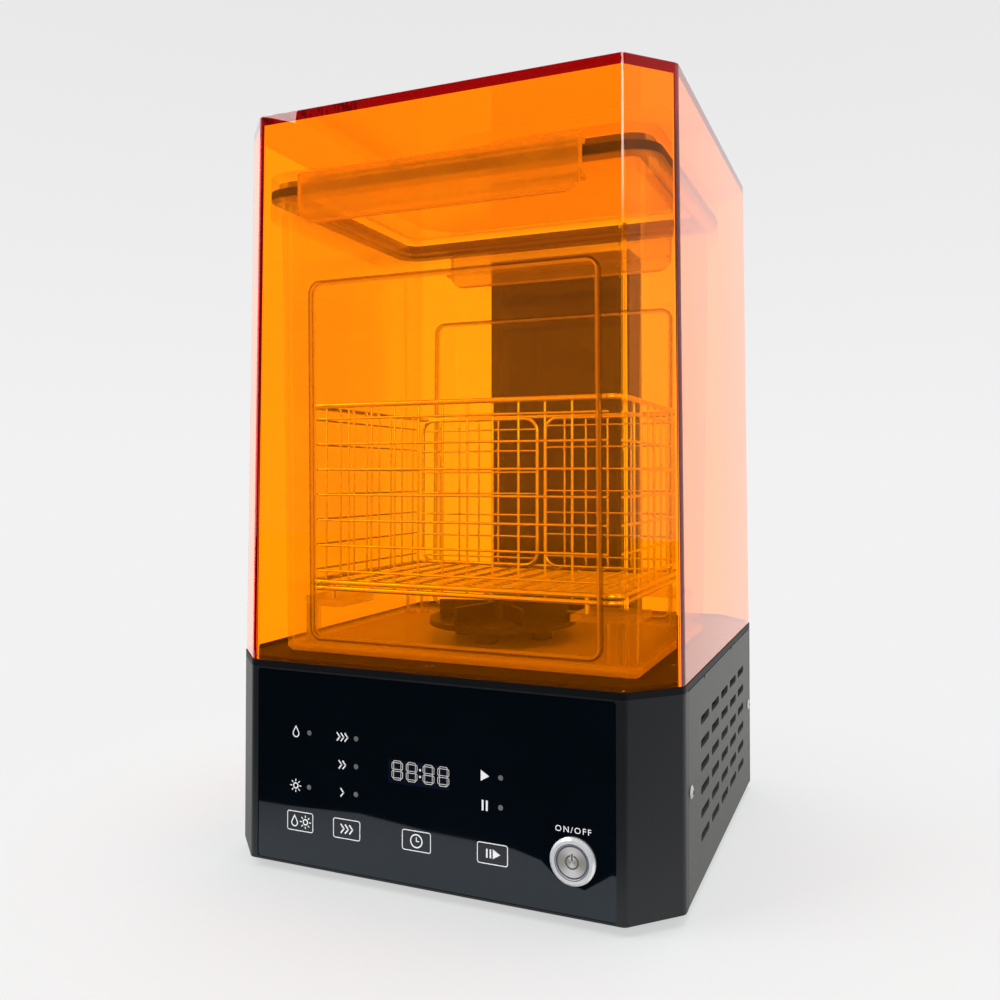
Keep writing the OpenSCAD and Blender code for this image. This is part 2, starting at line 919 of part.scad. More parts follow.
module motor_bracket() {
  color("gray")
    at_bucket_middle() {
      translate([0, 0, motor_top])
        linear_extrude(height = bracket_t)
          difference() {
            rounded_rect(2 * (bracket_half + bracket_edge), 2 * (bracket_half + bracket_edge), 5);
            circle(motor_collar_r + 0.1);
          }
      for (x = [-1, 1], y = [-1, 1])
        rod_z(x * (bracket_half + 2), y * (bracket_half + 2), motor_top + bracket_t - fuse,
          bracket_post_r, deck_under - motor_top - bracket_t + fuse);
    }
}

module drive_shaft() {
  color("silver")
    at_bucket_middle()
      rod_z(0, 0, motor_top - shaft_in_motor, shaft_r, carrier_top - motor_top + shaft_in_motor);
}

module magnet_carrier() {
  color("gray")
    at_bucket_middle()
      difference() {
        union() {
          rod_z(0, 0, carrier_top - carrier_t, carrier_r, carrier_t);
          rod_z(0, 0, carrier_top - carrier_t - 4, 6, 4 + fuse);
        }
        rod_z(0, 0, motor_top, shaft_r + press_gap, 2 * (carrier_top - motor_top));
        magnet_ring(carrier_top - magnet_h, magnet_h + 1, magnet_ring_r);
      }
}

module magnet_ring(z, h, ring) {
  for (a = [0:90:270])
    rotate(a)
      rod_z(ring, 0, z, magnet_r, h);
}

module drive_magnets() {
  color("silver")
    at_bucket_middle()
      magnet_ring(carrier_top - magnet_h, magnet_h, magnet_ring_r);
}

// Column of curing lamps behind the bucket
column_y = bucket_y + rim_d / 2 + column_gap;
column_top = total_h - hood_top_t - column_headroom;
window_w = column_w - 14;
window_low = deck_h + 12;
window_high = column_top - 10;
window_t = 2;
lamp_pitch = (window_high - window_low) / lamp_rows;
lamp_board_y = column_y + 9;
fin_count = 9;
fin_t = 1.6;
fin_end = 4;
fin_base_t = 3;

module lamp_column() {
  mid_z = (window_low + window_high) / 2;
  color("black")
    difference() {
      box_between([-column_w / 2, column_y, deck_h],
        [column_w / 2, column_y + column_d, column_top - column_wall]);
      box_between([column_wall - column_w / 2, column_y + column_wall + window_t, deck_h - 1],
        [column_w / 2 - column_wall, column_y + column_d - column_wall, column_top]);
      plate_y(0, column_y - 1, mid_z, window_w + 0.2, window_high - window_low + 0.2,
        window_t + 1, 2);
      plate_y(0, column_y - 1, mid_z, window_w - 6, window_high - window_low - 6,
        column_wall + window_t + 3, 2);
    }
}

module column_cap() {
  color("black") {
    box_between([-column_w / 2, column_y, column_top - column_wall],
      [column_w / 2, column_y + column_d, column_top]);
    inner = column_wall + 0.2;
    box_between([inner - column_w / 2, column_y + inner + window_t, column_top - column_wall - 3],
      [column_w / 2 - inner, column_y + column_d - inner, column_top - column_wall + fuse]);
  }
}

module lamp_window() {
  color([0.5, 0.5, 0.6, 0.4])
    plate_y(0, column_y, (window_low + window_high) / 2, window_w, window_high - window_low,
      window_t, 1.9);
}

module lamp_board() {
  color("white")
    box_between([-window_w / 2 + 2, lamp_board_y, window_low],
      [window_w / 2 - 2, lamp_board_y + board_t, window_high]);
}

module lamp_leds() {
  color("gold")
    for (side = [-1, 1], i = [0:lamp_rows - 1])
      translate([side * window_w / 4, lamp_board_y, window_low + (i + 0.5) * lamp_pitch]) {
        box_between([-3.5, -1.2, -3.5], [3.5, 0, 3.5]);
        rod_y(0, -2.4, 0, 2.4, 1.2 + fuse);
      }
}

module lamp_heatsink() {
  back = lamp_board_y + board_t;
  color("silver") {
    box_between([-window_w / 2 + 2, back, window_low],
      [window_w / 2 - 2, back + fin_base_t, window_high]);
    for (i = [0:fin_count - 1])
      translate([(i / (fin_count - 1) - 0.5) * (window_w - 2 * fin_end), 0, 0])
        box_between([-fin_t / 2, back + fin_base_t - fuse, window_low],
          [fin_t / 2, column_y + column_d - column_wall - part_gap, window_high]);
  }
}

// Wash bucket
rim_r = bucket_r + bucket_draft + rim_out;
corner_x = rim_w / 2 - rim_r;
corner_y = rim_d / 2 - rim_r;
bucket_plan = bucket_centres(corner_x, corner_y);
floor_top = bucket_bottom + bucket_floor;
function bucket_lean(z) = bucket_draft * z / bucket_h;
// Raised outline moulded on the front and rear walls
outline_w = rim_w - 52;
outline_h = bucket_h - 49.4;
outline_mid = outline_h / 2 + 6;
outline_line = 2.6;
outline_proud = 0.8;
foot_bevel = 2;

module bucket_outline() {
  lean = atan(bucket_draft / bucket_h);
  for (a = [0, 180])
    at_bucket_middle()
      rotate(a)
        translate([0, -corner_y - bucket_r, bucket_bottom])
          rotate([90 + lean, 0, 0])
            translate([0, outline_mid, -bucket_wall / 2])
              linear_extrude(height = bucket_wall / 2 + outline_proud)
                difference() {
                  rounded_rect(outline_w, outline_h, 7);
                  rounded_rect(outline_w - 2 * outline_line, outline_h - 2 * outline_line, 5);
                }
}

module bucket() {
  color([0.95, 0.9, 0.8, 0.5]) {
    translate([0, 0, bucket_bottom]) {
      sweep_round(bucket_plan)
        polygon([
          [0, 0],
          [bucket_r - foot_bevel, 0],
          [bucket_r, foot_bevel],
          [bucket_r + bucket_lean(bucket_h - rim_h), bucket_h - rim_h],
          [bucket_r + bucket_lean(bucket_h - rim_t), bucket_h - rim_t],
          [rim_r - rim_t, bucket_h - rim_t],
          [rim_r - rim_t, bucket_h - rim_h],
          [rim_r, bucket_h - rim_h],
          [rim_r, bucket_h],
          [bucket_r + bucket_draft - bucket_wall, bucket_h],
          [bucket_r - bucket_wall + bucket_lean(bucket_floor), bucket_floor],
          [0, bucket_floor]]);
      linear_extrude(height = bucket_floor)
        polygon(bucket_plan);
    }
    bucket_outline();
  }
}

// Moulded corner shelves that hold the basket above the stirrer
shelf_size = 30;
shelf_t = 3.3;
shelf_wall_gap = 1;

module basket_shelves() {
  reach_x = corner_x + bucket_r - bucket_wall - shelf_wall_gap;
  reach_y = corner_y + bucket_r - bucket_wall - shelf_wall_gap;
  post = 4.5;
  post_in = 13;
  color([0.95, 0.9, 0.8, 0.5])
    at_bucket_middle()
      for (x = [-1, 1], y = [-1, 1])
        translate([x * reach_x, y * reach_y, 0])
          mirror([x > 0 ? 1 : 0, 0, 0])
            mirror([0, y > 0 ? 1 : 0, 0])
              intersection() {
                union() {
                  box_between([0, 0, shelf_top_z - shelf_t], [shelf_size, shelf_size, shelf_top_z]);
                  box_between([post_in - post, 2, floor_top], [post_in, 2 + post, shelf_top_z - 1]);
                  box_between([2, post_in - post, floor_top], [2 + post, post_in, shelf_top_z - 1]);
                }
                // The outer corner is cut off to stay clear of the bucket's corner
                translate([shelf_size + 3, shelf_size + 3, 0])
                  rotate(45)
                    cube([2 * shelf_size + 18, 4 * shelf_size, 2 * total_h], center = true);
              }
}

// Stirrer: a pin in the bucket's floor, an impeller with magnets, and a cap that keeps it on
impeller_low = floor_top + part_gap;
impeller_disc_z = impeller_low + 7.5;
impeller_disc_t = 3;
blade_h = 8.5;
hub_r = 8;
hub_top = impeller_disc_z + impeller_disc_t + blade_h;

module stir_pin() {
  color("silver")
    at_bucket_middle()
      rod_z(0, 0, floor_top, stir_pin_r, hub_top + 3 - floor_top);
}

module impeller() {
  color([0.12, 0.12, 0.13])
    at_bucket_middle()
      difference() {
        union() {
          rod_z(0, 0, impeller_low, hub_r, hub_top - impeller_low);
          rod_z(0, 0, impeller_disc_z, impeller_r, impeller_disc_t);
          for (i = [0:blade_count - 1])
            rotate(i * 360 / blade_count)
              translate([hub_r - 1, 0, impeller_disc_z + impeller_disc_t - fuse])
                rotate(12)
                  translate([0, -1, 0])
                    cube([impeller_r - hub_r - 3, 2, blade_h + fuse]);
          magnet_pods(0);
        }
        rod_z(0, 0, floor_top, stir_pin_r + running_gap, hub_top + 1 - floor_top);
        magnet_pods(1);
      }
}

// Round pods under the disc, as solids or as the pockets in them
module magnet_pods(pocket) {
  for (a = [0:90:270])
    rotate(a)
      if (pocket == 1)
        rod_z(magnet_ring_r, 0, impeller_low - 1, magnet_r, magnet_h + 1);
      else
        rod_z(magnet_ring_r, 0, impeller_low, magnet_r + 1.5, 7.5 + fuse);
}

module impeller_magnets() {
  color("silver")
    at_bucket_middle()
      magnet_ring(impeller_low, magnet_h, magnet_ring_r);
}

module impeller_cap() {
  color([0.12, 0.12, 0.13])
    at_bucket_middle()
      difference() {
        union() {
          rod_z(0, 0, hub_top + part_gap, 5, 2);
          translate([0, 0, hub_top + part_gap + 2])
            cylinder(h = 2, r1 = 5, r2 = 3);
        }
        rod_z(0, 0, hub_top, stir_pin_r, 3);
      }
}

// Wire basket
half_bx = basket_w / 2;
half_by = basket_d / 2;
basket_plan = bucket_centres(half_bx - basket_r, half_by - basket_r);
second_low_z = basket_low_z + 2 * thick_r + 0.5;
// Room above the highest and below the lowest lying wire, as parts of their spacing
room_over = 0.51;
room_under = 0.434;
ring_pitch = (basket_rim_z - second_low_z) / (ring_count - 1 + room_over + room_under);
// The thin wires lie inside the thick ones, and cross each other a little sunk
thin_in = thick_r + thin_r;
weld = 0.3;
cross_in = thin_in + 2 * thin_r - weld;
wire_len = basket_rim_z - basket_low_z;

function ring_z(i) = second_low_z + (i + room_under) * ring_pitch;
// Places of the upright wires across a side of this half width
function upright_places(half) =
  let (count = 2 * floor((half - basket_r) / mesh_pitch + 0.5))
    [for (i = [0:count - 1]) (i - (count - 1) / 2) * mesh_pitch];

module wire_ring(z, r) {
  translate([0, 0, z])
    sweep_round(basket_plan)
      translate([basket_r, 0])
        circle(r);
}

module basket_rim() {
  color("silver")
    wire_ring(basket_rim_z, thick_r);
}

// Two rings one above the other, joined by short studs that also stand on the shelves
module basket_base() {
  stud_in = 16;
  stud_r = 0.8 * thick_r;
  color("silver") {
    wire_ring(basket_low_z, thick_r);
    wire_ring(second_low_z, thick_r);
    at_bucket_middle()
      for (x = [-1, 1], y = [-1, 1])
        rod_z(x * (half_bx - stud_in), y * half_by, shelf_top_z + part_gap, stud_r,
          second_low_z - shelf_top_z - part_gap);
  }
}

// Flat mesh of upright and lying thin wires, made in the XZ plane about the origin
module wire_mesh(half, inset) {
  span = half - inset;
  for (x = upright_places(half))
    rod_z(x, 0, basket_low_z, thin_r, wire_len);
  for (i = [0:ring_count - 1])
    rod_x(-span, weld - 2 * thin_r, ring_z(i), thin_r, 2 * span);
}

module basket_front() {
  color("silver")
    at_bucket_middle()
      translate([0, thin_in - half_by, 0])
        wire_mesh(half_bx, basket_r);
}

module basket_side(side) {
  at_bucket_middle()
    translate([side * (half_bx - thin_in), 0, 0])
      rotate(side * 90)
        wire_mesh(half_by, basket_r);
}

module basket_left() {
  color("silver")
    basket_side(-1);
}

module basket_right() {
  color("silver")
    basket_side(1);
}

// Rear wall: two frames side by side, each a rounded rectangle of thick wire with a mesh in it
rear_gap = 3;
rear_frame_w = half_bx - thick_r - thin_r - rear_gap / 2;
rear_wire_r = 1.1;
rear_frame_r = 8;

module rear_mesh_frame(side) {
  low = basket_low_z + thick_r + rear_wire_r;
  high = basket_rim_z;
  mid_x = side * (rear_gap / 2 + rear_frame_w / 2);
  half_x = rear_frame_w / 2 - rear_wire_r;
  half_z = (high - low) / 2 - rear_wire_r;
  mesh_half = half_x - rear_wire_r / 2;
  at_bucket_middle()
    translate([mid_x, half_by - thick_r - rear_wire_r, (low + high) / 2]) {
      rotate([90, 0, 0])
        frame_wire(half_x, half_z);
      for (i = [-2:2])
        rod_z(i * mesh_pitch, 0, -half_z, thin_r, 2 * half_z);
      for (i = [0:ring_count - 1])
        rod_x(-half_x, weld - 2 * thin_r, ring_z(i) - (low + high) / 2 + side, thin_r, 2 * half_x);
    }
}

// Closed rounded rectangle of round wire in the XY plane
module frame_wire(half_x, half_y) {
  a = half_x - rear_frame_r;
  b = half_y - rear_frame_r;
  sweep_round([[a, b], [-a, b], [-a, -b], [a, -b]])
    translate([rear_frame_r, 0])
      circle(rear_wire_r);
}

module basket_rear_left() {
  color("silver")
    rear_mesh_frame(-1);
}

module basket_rear_right() {
  color("silver")
    rear_mesh_frame(1);
}

module basket_floor() {
  z = basket_low_z + thick_r + thin_r;
  reach_x = half_bx - thick_r - 3 * thin_r;
  reach_y = half_by - thick_r - 3 * thin_r - rear_wire_r;
  count_y = floor(reach_y / floor_pitch - 0.5);
  count_x = floor(reach_x / mesh_pitch - 0.5);
  color("silver")
    at_bucket_middle() {
      for (i = [-count_y:count_y])
        rod_x(-reach_x, i * floor_pitch, z, thin_r, 2 * reach_x);
      for (i = [-count_x:count_x])
        rod_y(i * mesh_pitch, -reach_y, z + 2 * thin_r - weld, thin_r, 2 * reach_y);
    }
}

// Lid with its gasket
gasket_low = bucket_top + part_gap;
gasket_top = gasket_low + gasket_h;
lid_low = gasket_top;
lid_top = lid_low + lid_h;
groove_h = 4.5;
groove_in = 4;
groove_w = 3.5;
groove_gap = 0.05;
plug_t = 1.8;
panel_sink_h = 2;
lid_bevel = 1;
plug_r = rim_r - gasket_w;

module gasket() {
  color([0.1, 0.08, 0.06])
    sweep_round(bucket_plan) {
      translate([rim_r - gasket_w + 0.1, gasket_low])
        square([gasket_w - 0.1, gasket_h]);
      translate([rim_r - groove_in - groove_w, gasket_top - fuse])
        square([groove_w, groove_h + fuse]);
    }
}

module lid() {
  panel_z = lid_h - panel_sink_h;
  inner_r = plug_r - plug_t;
  groove_end = rim_r - groove_in;
  color([0.95, 0.9, 0.8, 0.5])
    difference() {
      union() {
        translate([0, 0, lid_low]) {
          sweep_round(bucket_plan)
            polygon([
              [rim_r, 0],
              [rim_r, lid_h - lid_bevel],
              [rim_r - lid_bevel, lid_h],
              [inner_r, lid_h],
              [inner_r, panel_z],
              [0, panel_z],
              [0, panel_z - lid_t],
              [inner_r, panel_z - lid_t],
              [inner_r, -gasket_h - plug_h],
              [plug_r, -gasket_h - plug_h],
              [plug_r, 0],
              [groove_end - groove_w - groove_gap, 0],
              [groove_end - groove_w - groove_gap, groove_h + groove_gap],
              [groove_end + groove_gap, groove_h + groove_gap],
              [groove_end + groove_gap, 0]]);
          translate([0, 0, panel_z - lid_t])
            linear_extrude(height = lid_t)
              polygon(bucket_plan);
        }
        flap_lugs(1);
        flap_lugs(-1);
      }
      for (side = [1, -1])
        hinge_line(side, hinge_pin_r, 2 * flap_half_w + 2);
    }
}

// Lock flaps on the front and the rear of the lid, each on its own hinge pin
flap_top = lid_low + 3.4;
barrel_r = 2.2;
hinge_out = flap_out - barrel_r - flap_t - 0.2;
hinge_z = flap_top - barrel_r;
lug_w = 6;
lug_xs = [-flap_half_w + 12, -20, 20, flap_half_w - 12];
catch_gap = 0.4;
catch_reach = flap_out - part_gap;
catch_t = 1.8;

// Puts what is modelled for the front flap at the front (1) or the rear (-1)
module flap_side(side) {
  at_bucket_middle()
    mirror([0, side > 0 ? 0 : 1, 0])
      translate([0, -rim_d / 2, 0])
        children();
}

module hinge_line(side, r, length) {
  flap_side(side)
    rod_x(-length / 2, -hinge_out, hinge_z, r, length);
}

module flap_lugs(side) {
  flap_side(side)
    for (x = lug_xs) {
      rod_x(x - lug_w / 2, -hinge_out, hinge_z, barrel_r, lug_w);
      box_between([x - lug_w / 2, -hinge_out, lid_low], [x + lug_w / 2, 1, hinge_z + barrel_r]);
    }
}

// Flap's section: y from its outer face inwards, and height from its top edge
module flap_section() {
  inner = flap_t;
  arm = flap_out - hinge_out;
  catch_z = bucket_top - rim_h - catch_gap - flap_top;
  polygon([
    [0, -flap_h], [inner, -flap_h], [inner, catch_z - catch_t],
    [catch_reach, catch_z - catch_t], [catch_reach, catch_z],
    [inner, catch_z], [inner, -2 * barrel_r + 0.4], [arm, -2 * barrel_r + 0.4],
    [arm, 0], [0.8, 0], [0, -0.8]]);
  translate([arm, -barrel_r])
    circle(barrel_r);
}

module lock_flap(side) {
  corner = 9;
  flap_side(side)
    difference() {
      translate([-flap_half_w, -flap_out, flap_top])
        rotate([90, 0, 90])
          linear_extrude(height = 2 * flap_half_w)
            flap_section();
      rod_x(-flap_half_w - 1, -hinge_out, hinge_z, hinge_pin_r + running_gap, 2 * flap_half_w + 2);
      for (x = lug_xs)
        box_between([x - lug_w / 2 - part_gap, flap_t - flap_out + 0.05, flap_top - 2 * barrel_r - 1],
          [x + lug_w / 2 + part_gap, barrel_r - hinge_out + 1, flap_top + 1]);
      // Rounded lower corners
      for (x = [-1, 1])
        translate([x * flap_half_w, 0, flap_top - flap_h])
          mirror([x > 0 ? 1 : 0, 0, 0])
            difference() {
              box_between([-1, -flap_out - 1, -1], [corner, 2, corner]);
              rod_y(corner, -flap_out - 2, corner, corner, flap_out + 5);
            }
    }
}

module front_flap() {
  color([0.95, 0.9, 0.8, 0.5])
    lock_flap(1);
}

module rear_flap() {
  color([0.95, 0.9, 0.8, 0.5])
    lock_flap(-1);
}

module front_flap_pin() {
  color("silver")
    hinge_line(1, hinge_pin_r, 2 * flap_half_w - 8);
}

module rear_flap_pin() {
  color("silver")
    hinge_line(-1, hinge_pin_r, 2 * flap_half_w - 8);
}

hood();
deck();
deck_screws();
front_frame();
rear_frame();
side_panel_left();
side_panel_right();
side_screws();
bottom_tray();
feet();
front_panel();
display_lens();
display_module();
display_board();
indicator_leds();
touch_pads();
button_bezel();
button_nut();
button_cap();
power_symbol();
button_switch();
control_board();
board_parts();
power_inlet();
fan_frame();
fan_rotor();
motor();
motor_bracket();
drive_shaft();
magnet_carrier();
drive_magnets();
lamp_column();
column_cap();
lamp_window();
lamp_board();
lamp_leds();
lamp_heatsink();
bucket();
basket_shelves();
stir_pin();
impeller();
impeller_magnets();
impeller_cap();
basket_rim();
basket_base();
basket_front();
basket_left();
basket_right();
basket_rear_left();
basket_rear_right();
basket_floor();
lid();
gasket();
front_flap();
rear_flap();
front_flap_pin();
rear_flap_pin();
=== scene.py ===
import math

import bmesh
import bpy
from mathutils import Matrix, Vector


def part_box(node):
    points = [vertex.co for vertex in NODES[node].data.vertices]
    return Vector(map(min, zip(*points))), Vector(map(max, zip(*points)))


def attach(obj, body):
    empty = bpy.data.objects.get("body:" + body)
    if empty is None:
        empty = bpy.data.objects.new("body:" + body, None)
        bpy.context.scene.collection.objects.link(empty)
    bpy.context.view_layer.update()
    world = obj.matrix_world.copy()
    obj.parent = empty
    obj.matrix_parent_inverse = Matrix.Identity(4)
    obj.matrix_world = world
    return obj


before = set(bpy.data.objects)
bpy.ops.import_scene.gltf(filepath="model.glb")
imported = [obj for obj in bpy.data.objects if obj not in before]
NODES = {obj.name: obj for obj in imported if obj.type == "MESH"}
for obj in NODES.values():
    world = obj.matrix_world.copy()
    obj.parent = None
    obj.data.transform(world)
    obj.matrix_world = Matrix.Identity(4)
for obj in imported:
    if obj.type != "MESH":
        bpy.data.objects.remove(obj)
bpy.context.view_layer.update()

bl_info = {
    "name": "Wash and cure station",
    "version": (1, 0, 0),
    "blender": (4, 5, 0),
    "location": "View3D > Sidebar > Station",
    "description": "Dresses the CAD model of a wash and cure station and lights it for a studio picture",
    "category": "Object",
}

MM = 0.001


# Sizes that come from the CAD model
PANEL_FACE_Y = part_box("front_panel")[0].y
BUTTON_LOW, BUTTON_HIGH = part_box("button_bezel")
BUTTON_X = (BUTTON_LOW.x + BUTTON_HIGH.x) / 2
BUTTON_Z = (BUTTON_LOW.z + BUTTON_HIGH.z) / 2
BUCKET_LOW, BUCKET_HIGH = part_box("bucket")
PADS_LOW, PADS_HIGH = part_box("touch_pads")
BASKET_LOW, BASKET_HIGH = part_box("basket_rim")

# Raised outline on the bucket's front and rear walls
RIB_WIDTH = BUCKET_HIGH.x - BUCKET_LOW.x - 52 * MM
RIB_HEIGHT = BUCKET_HIGH.z - BUCKET_LOW.z - 49.4 * MM
RIB_RADIUS = 7 * MM
RIB_MIDDLE_Z = BUCKET_LOW.z + RIB_HEIGHT / 2 + 6 * MM
# How far inside the outline its lines of painted shade and painted highlight run, in line widths
RIB_INSETS = (0.5, 1.2)

# The bucket is frosted up to the first height over its foot, and clear above the second
FROST_TOP = 3 * MM
FROST_END = 6 * MM
# What frosted places and painted highlights scatter beyond the plain wall's share
FROST_AND_HIGHLIGHT_EXTRA = 0.65

# Corner radius of the bucket's rim, the gasket and the lid
RIM_RADIUS = 14.5 * MM
# Gasket: width of the black bead, thickness of the web under the tongue, darkness of the tongue
GASKET_BEAD = 2 * MM
GASKET_WEB = 2.8 * MM
TONGUE_DARKNESS = 0.55

# Lock flaps: corner radius, and how far in the painted highlight along their outline is full and ends
FLAP_RADIUS = 4 * MM
FLAP_HIGHLIGHT_FULL = 0.7 * MM
FLAP_HIGHLIGHT_END = 1.5 * MM

# Touch panel, from left to right: two mode lights, three speed lights, two run lights
MODE_X = -61.6 * MM
SPEED_X = -35.4 * MM
RUN_X = 38.6 * MM
LIGHT_PITCH = 13 * MM
LIGHT_LOW_Z = 42.4 * MM
# The run lights stand this share of a pitch above the speed lights
RUN_LIFT = 0.3
# Symbols stand this far left of their lights
SYMBOL_LEFT = 7.6 * MM

# Key boxes
KEY_XS = [x * MM for x in (-66.6, -40.4, -3.2, 34.7)]
KEY_Z = (PADS_LOW.z + PADS_HIGH.z) / 2
KEY_WIDTH = 14.9 * MM
KEY_HEIGHT = 9.4 * MM
KEY_RADIUS = 1.2 * MM
KEY_LINE = 0.4 * MM

# Words over the switch, and how thick the ink lies
WORDS_Z = 41.4 * MM
WORDS_WIDTH = 16.1 * MM
WORDS_HEIGHT = 2.6 * MM
INK_DEPTH = 0.05 * MM

# Unlit digits of the display
DIGITS_X = -1.35 * MM
DIGITS_Z = 56.35 * MM
DIGIT_WIDTH = 5.6 * MM
DIGIT_HEIGHT = 8.9 * MM
DIGIT_PITCH = 7.5 * MM
SEGMENT_LINE = 0.23 * MM
COLON_RADIUS = 0.55 * MM

# Painted red glow of the hood's acrylic, for each metre of it, seen as dark red along its thick edges
PAINTED_EDGE_GLOW = 1.3

# Colours of the painted shade in the button's gap and on the dark side of the bucket's raised outline
GAP_SHADE_BLUE = "#6d7484"
RIB_SHADE_GREY = "#aaa69c"

# Basket's wires, as the CAD model has them: radii, how deep crossing wires sink into each other,
# pitches, and the mesh's room over and under its lying wires in pitches
THICK_R = 1.3 * MM
THIN_R = 0.6 * MM
WELD_SINK = 0.3 * MM
BASE_WIRE_GAP = 0.5 * MM
MESH_PITCH = 13.5 * MM
MESH_MARGIN = 6 * MM
FLOOR_PITCH = 6.75 * MM
RING_COUNT = 7
ROOM_OVER = 0.51
ROOM_UNDER = 0.434

# Stage, in metres: the floor, and where it begins to fade and is gone
FLOOR_RADIUS = 0.4
FLOOR_FADE = (0.14, 0.36)
# Black card on the floor in front: its far edge, half its width, its height, and its near edge from
# left to right in millimetres, as its reflection runs across the glossy panel
FLAG_FAR = -3.0
FLAG_SIDE = 3.0
FLAG_LIFT = 0.002
FLAG_EDGE = ((-125.6, -184.6), (-80.2, -189.3), (-29.5, -180.5), (-5, -178.9), (18.4, -177),
             (36.8, -169.2), (52.9, -151.4), (67, -146.1), (74, -165.7))
# Tall light card, seen from the hood's front right bend: direction, distance, half width, heights
STRIP_BEND = (0.085, -0.112)
STRIP_TOWARD = math.radians(-63)
STRIP_DISTANCE = 1.5
STRIP_HALF_WIDTH = 0.12
STRIP_LOW = 0.74
STRIP_HIGH = 1.25
STRIP_FADE = 0.15
# Square soft lights: place, height of the point they face, side, setting with the power, and whether
# glossy faces mirror them
LIGHTS = {
    "key_softbox": ((-0.9, -0.75, 1.15), 0.2, 0.7, "key_power", True),
    "top_softbox": ((0.25, 0.2, 1.5), 0.2, 0.9, "top_power", False),
    "front_fill": ((0.55, -1.3, 0.55), 0.15, 0.6, "fill_power", False),
}
# Backdrop's brightness at the horizon and high up, as the camera sees it, and how far up high is
BACKDROP_LOW = 0.89
BACKDROP_HIGH = 0.80
BACKDROP_RISE = 0.5
# Front-to-back slant of a direction at which the room turns from dark to bright
ROOM_TURN = (-0.5, 0.2)
# Camera, fitted to the photograph: the tilt is up from level, the turn is to the left
CAMERA_PLACE = (0.1997042, -0.4854764, 0.1915743)
CAMERA_TILT = 0.0182
CAMERA_TURN = 0.3878
CAMERA_LENS_MM = 32.951
CAMERA_SHIFT = (-0.0208, -0.0401)
# Light runs far along the hood's thick edges before it leaves them
HOOD_BOUNCES = 24
CLEAR_BOUNCES = 32


# Colour and node helpers

def linear(hex_colour):
    """Turns an sRGB hex colour into the linear colour that shader sockets take."""
    parts = [int(hex_colour[i:i + 2], 16) / 255 for i in (1, 3, 5)]
    return (*[c / 12.92 if c <= 0.04045 else ((c + 0.055) / 1.055) ** 2.4 for c in parts], 1)


def add_node(tree, kind, inputs=None, **options):
    """Adds a node, gives it its options, and sets or links its inputs."""
    made = tree.nodes.new(kind)
    for name, value in options.items():
        setattr(made, name, value)
    for name, value in (inputs or {}).items():
        if isinstance(value, bpy.types.NodeSocket):
            tree.links.new(value, made.inputs[name])
        else:
            made.inputs[name].default_value = value
    return made


def new_material(name):
    """A material with an empty node tree, and the tree."""
    material = bpy.data.materials.new(name)
    material.use_nodes = True
    material.node_tree.nodes.clear()
    return material, material.node_tree


def cover(material, surface, **inside):
    """Puts a shader on a material's surface, and maybe one in its volume."""
    add_node(material.node_tree, "ShaderNodeOutputMaterial", {"Surface": surface, **inside})
    return material


def place(tree):
    """Object coordinates in metres."""
    return add_node(tree, "ShaderNodeTexCoord").outputs["Object"]


def height_of(tree):
    """Height above the floor in metres."""
    return add_node(tree, "ShaderNodeSeparateXYZ", {0: place(tree)}).outputs["Z"]


def noise(tree, grain_mm, detail=3.0, vector=None):
    """Noise whose grains are this many millimetres wide."""
    return add_node(tree, "ShaderNodeTexNoise", {
        "Vector": vector or place(tree), "Scale": 1 / (grain_mm * MM), "Detail": detail}).outputs["Fac"]


def remap(tree, value, low, high, from_low=0.3, from_high=0.7, interpolation="LINEAR"):
    """Maps a value onto a range. The usual reach from 0.3 to 0.7 is that of noise."""
    return add_node(tree, "ShaderNodeMapRange", {
        "Value": value, "From Min": from_low, "From Max": from_high,
        "To Min": low, "To Max": high}, interpolation_type=interpolation).outputs["Result"]


def maths(tree, operation, *values, clamp=False):
    return add_node(tree, "ShaderNodeMath", dict(enumerate(values)), operation=operation,
                    use_clamp=clamp).outputs[0]


def vector_maths(tree, operation, *values):
    made = add_node(tree, "ShaderNodeVectorMath", dict(enumerate(values)), operation=operation)
    return made.outputs["Value" if operation == "LENGTH" else "Vector"]


def blend_colours(tree, factor, first, second):
    """Colour between two colours, each a hex colour or a linear one."""
    ramp = add_node(tree, "ShaderNodeValToRGB", {"Fac": factor})
    for element, colour in zip(ramp.color_ramp.elements, (first, second)):
        element.color = linear(colour) if isinstance(colour, str) else colour
    return ramp.outputs["Color"]


def lay_colour(tree, share, under, hex_colour):
    """Lays a colour over another one. The mix node's colour sockets can only be told apart by number."""
    return add_node(tree, "ShaderNodeMix", {0: share, 6: under, 7: linear(hex_colour)},
                    data_type="RGBA").outputs[2]


def mix_shaders(tree, share, first, second):
    return add_node(tree, "ShaderNodeMixShader", {0: share, 1: first, 2: second}).outputs[0]


def add_shaders(tree, first, second):
    return add_node(tree, "ShaderNodeAddShader", {0: first, 1: second}).outputs[0]


def shader(tree, kind, inputs=None):
    return add_node(tree, "ShaderNode" + kind, inputs).outputs[0]


def around(colour, spread=0.15):
    """The slightly darker and slightly lighter neighbours of a linear colour."""
    return [(*[part * share for part in colour], 1) for share in (1 - spread, 1 + spread)]


def settings():
    """What a user may change in the sidebar."""
    return bpy.context.scene.station


def bump(tree, height, depth_mm, strength=1.0):
    return add_node(tree, "ShaderNodeBump", {
        "Height": height, "Distance": depth_mm * MM, "Strength": strength}).outputs["Normal"]


def principled(material, inputs):
    """Makes a material's whole surface one principled shader."""
    return cover(material, shader(material.node_tree, "BsdfPrincipled", inputs))


# Materials

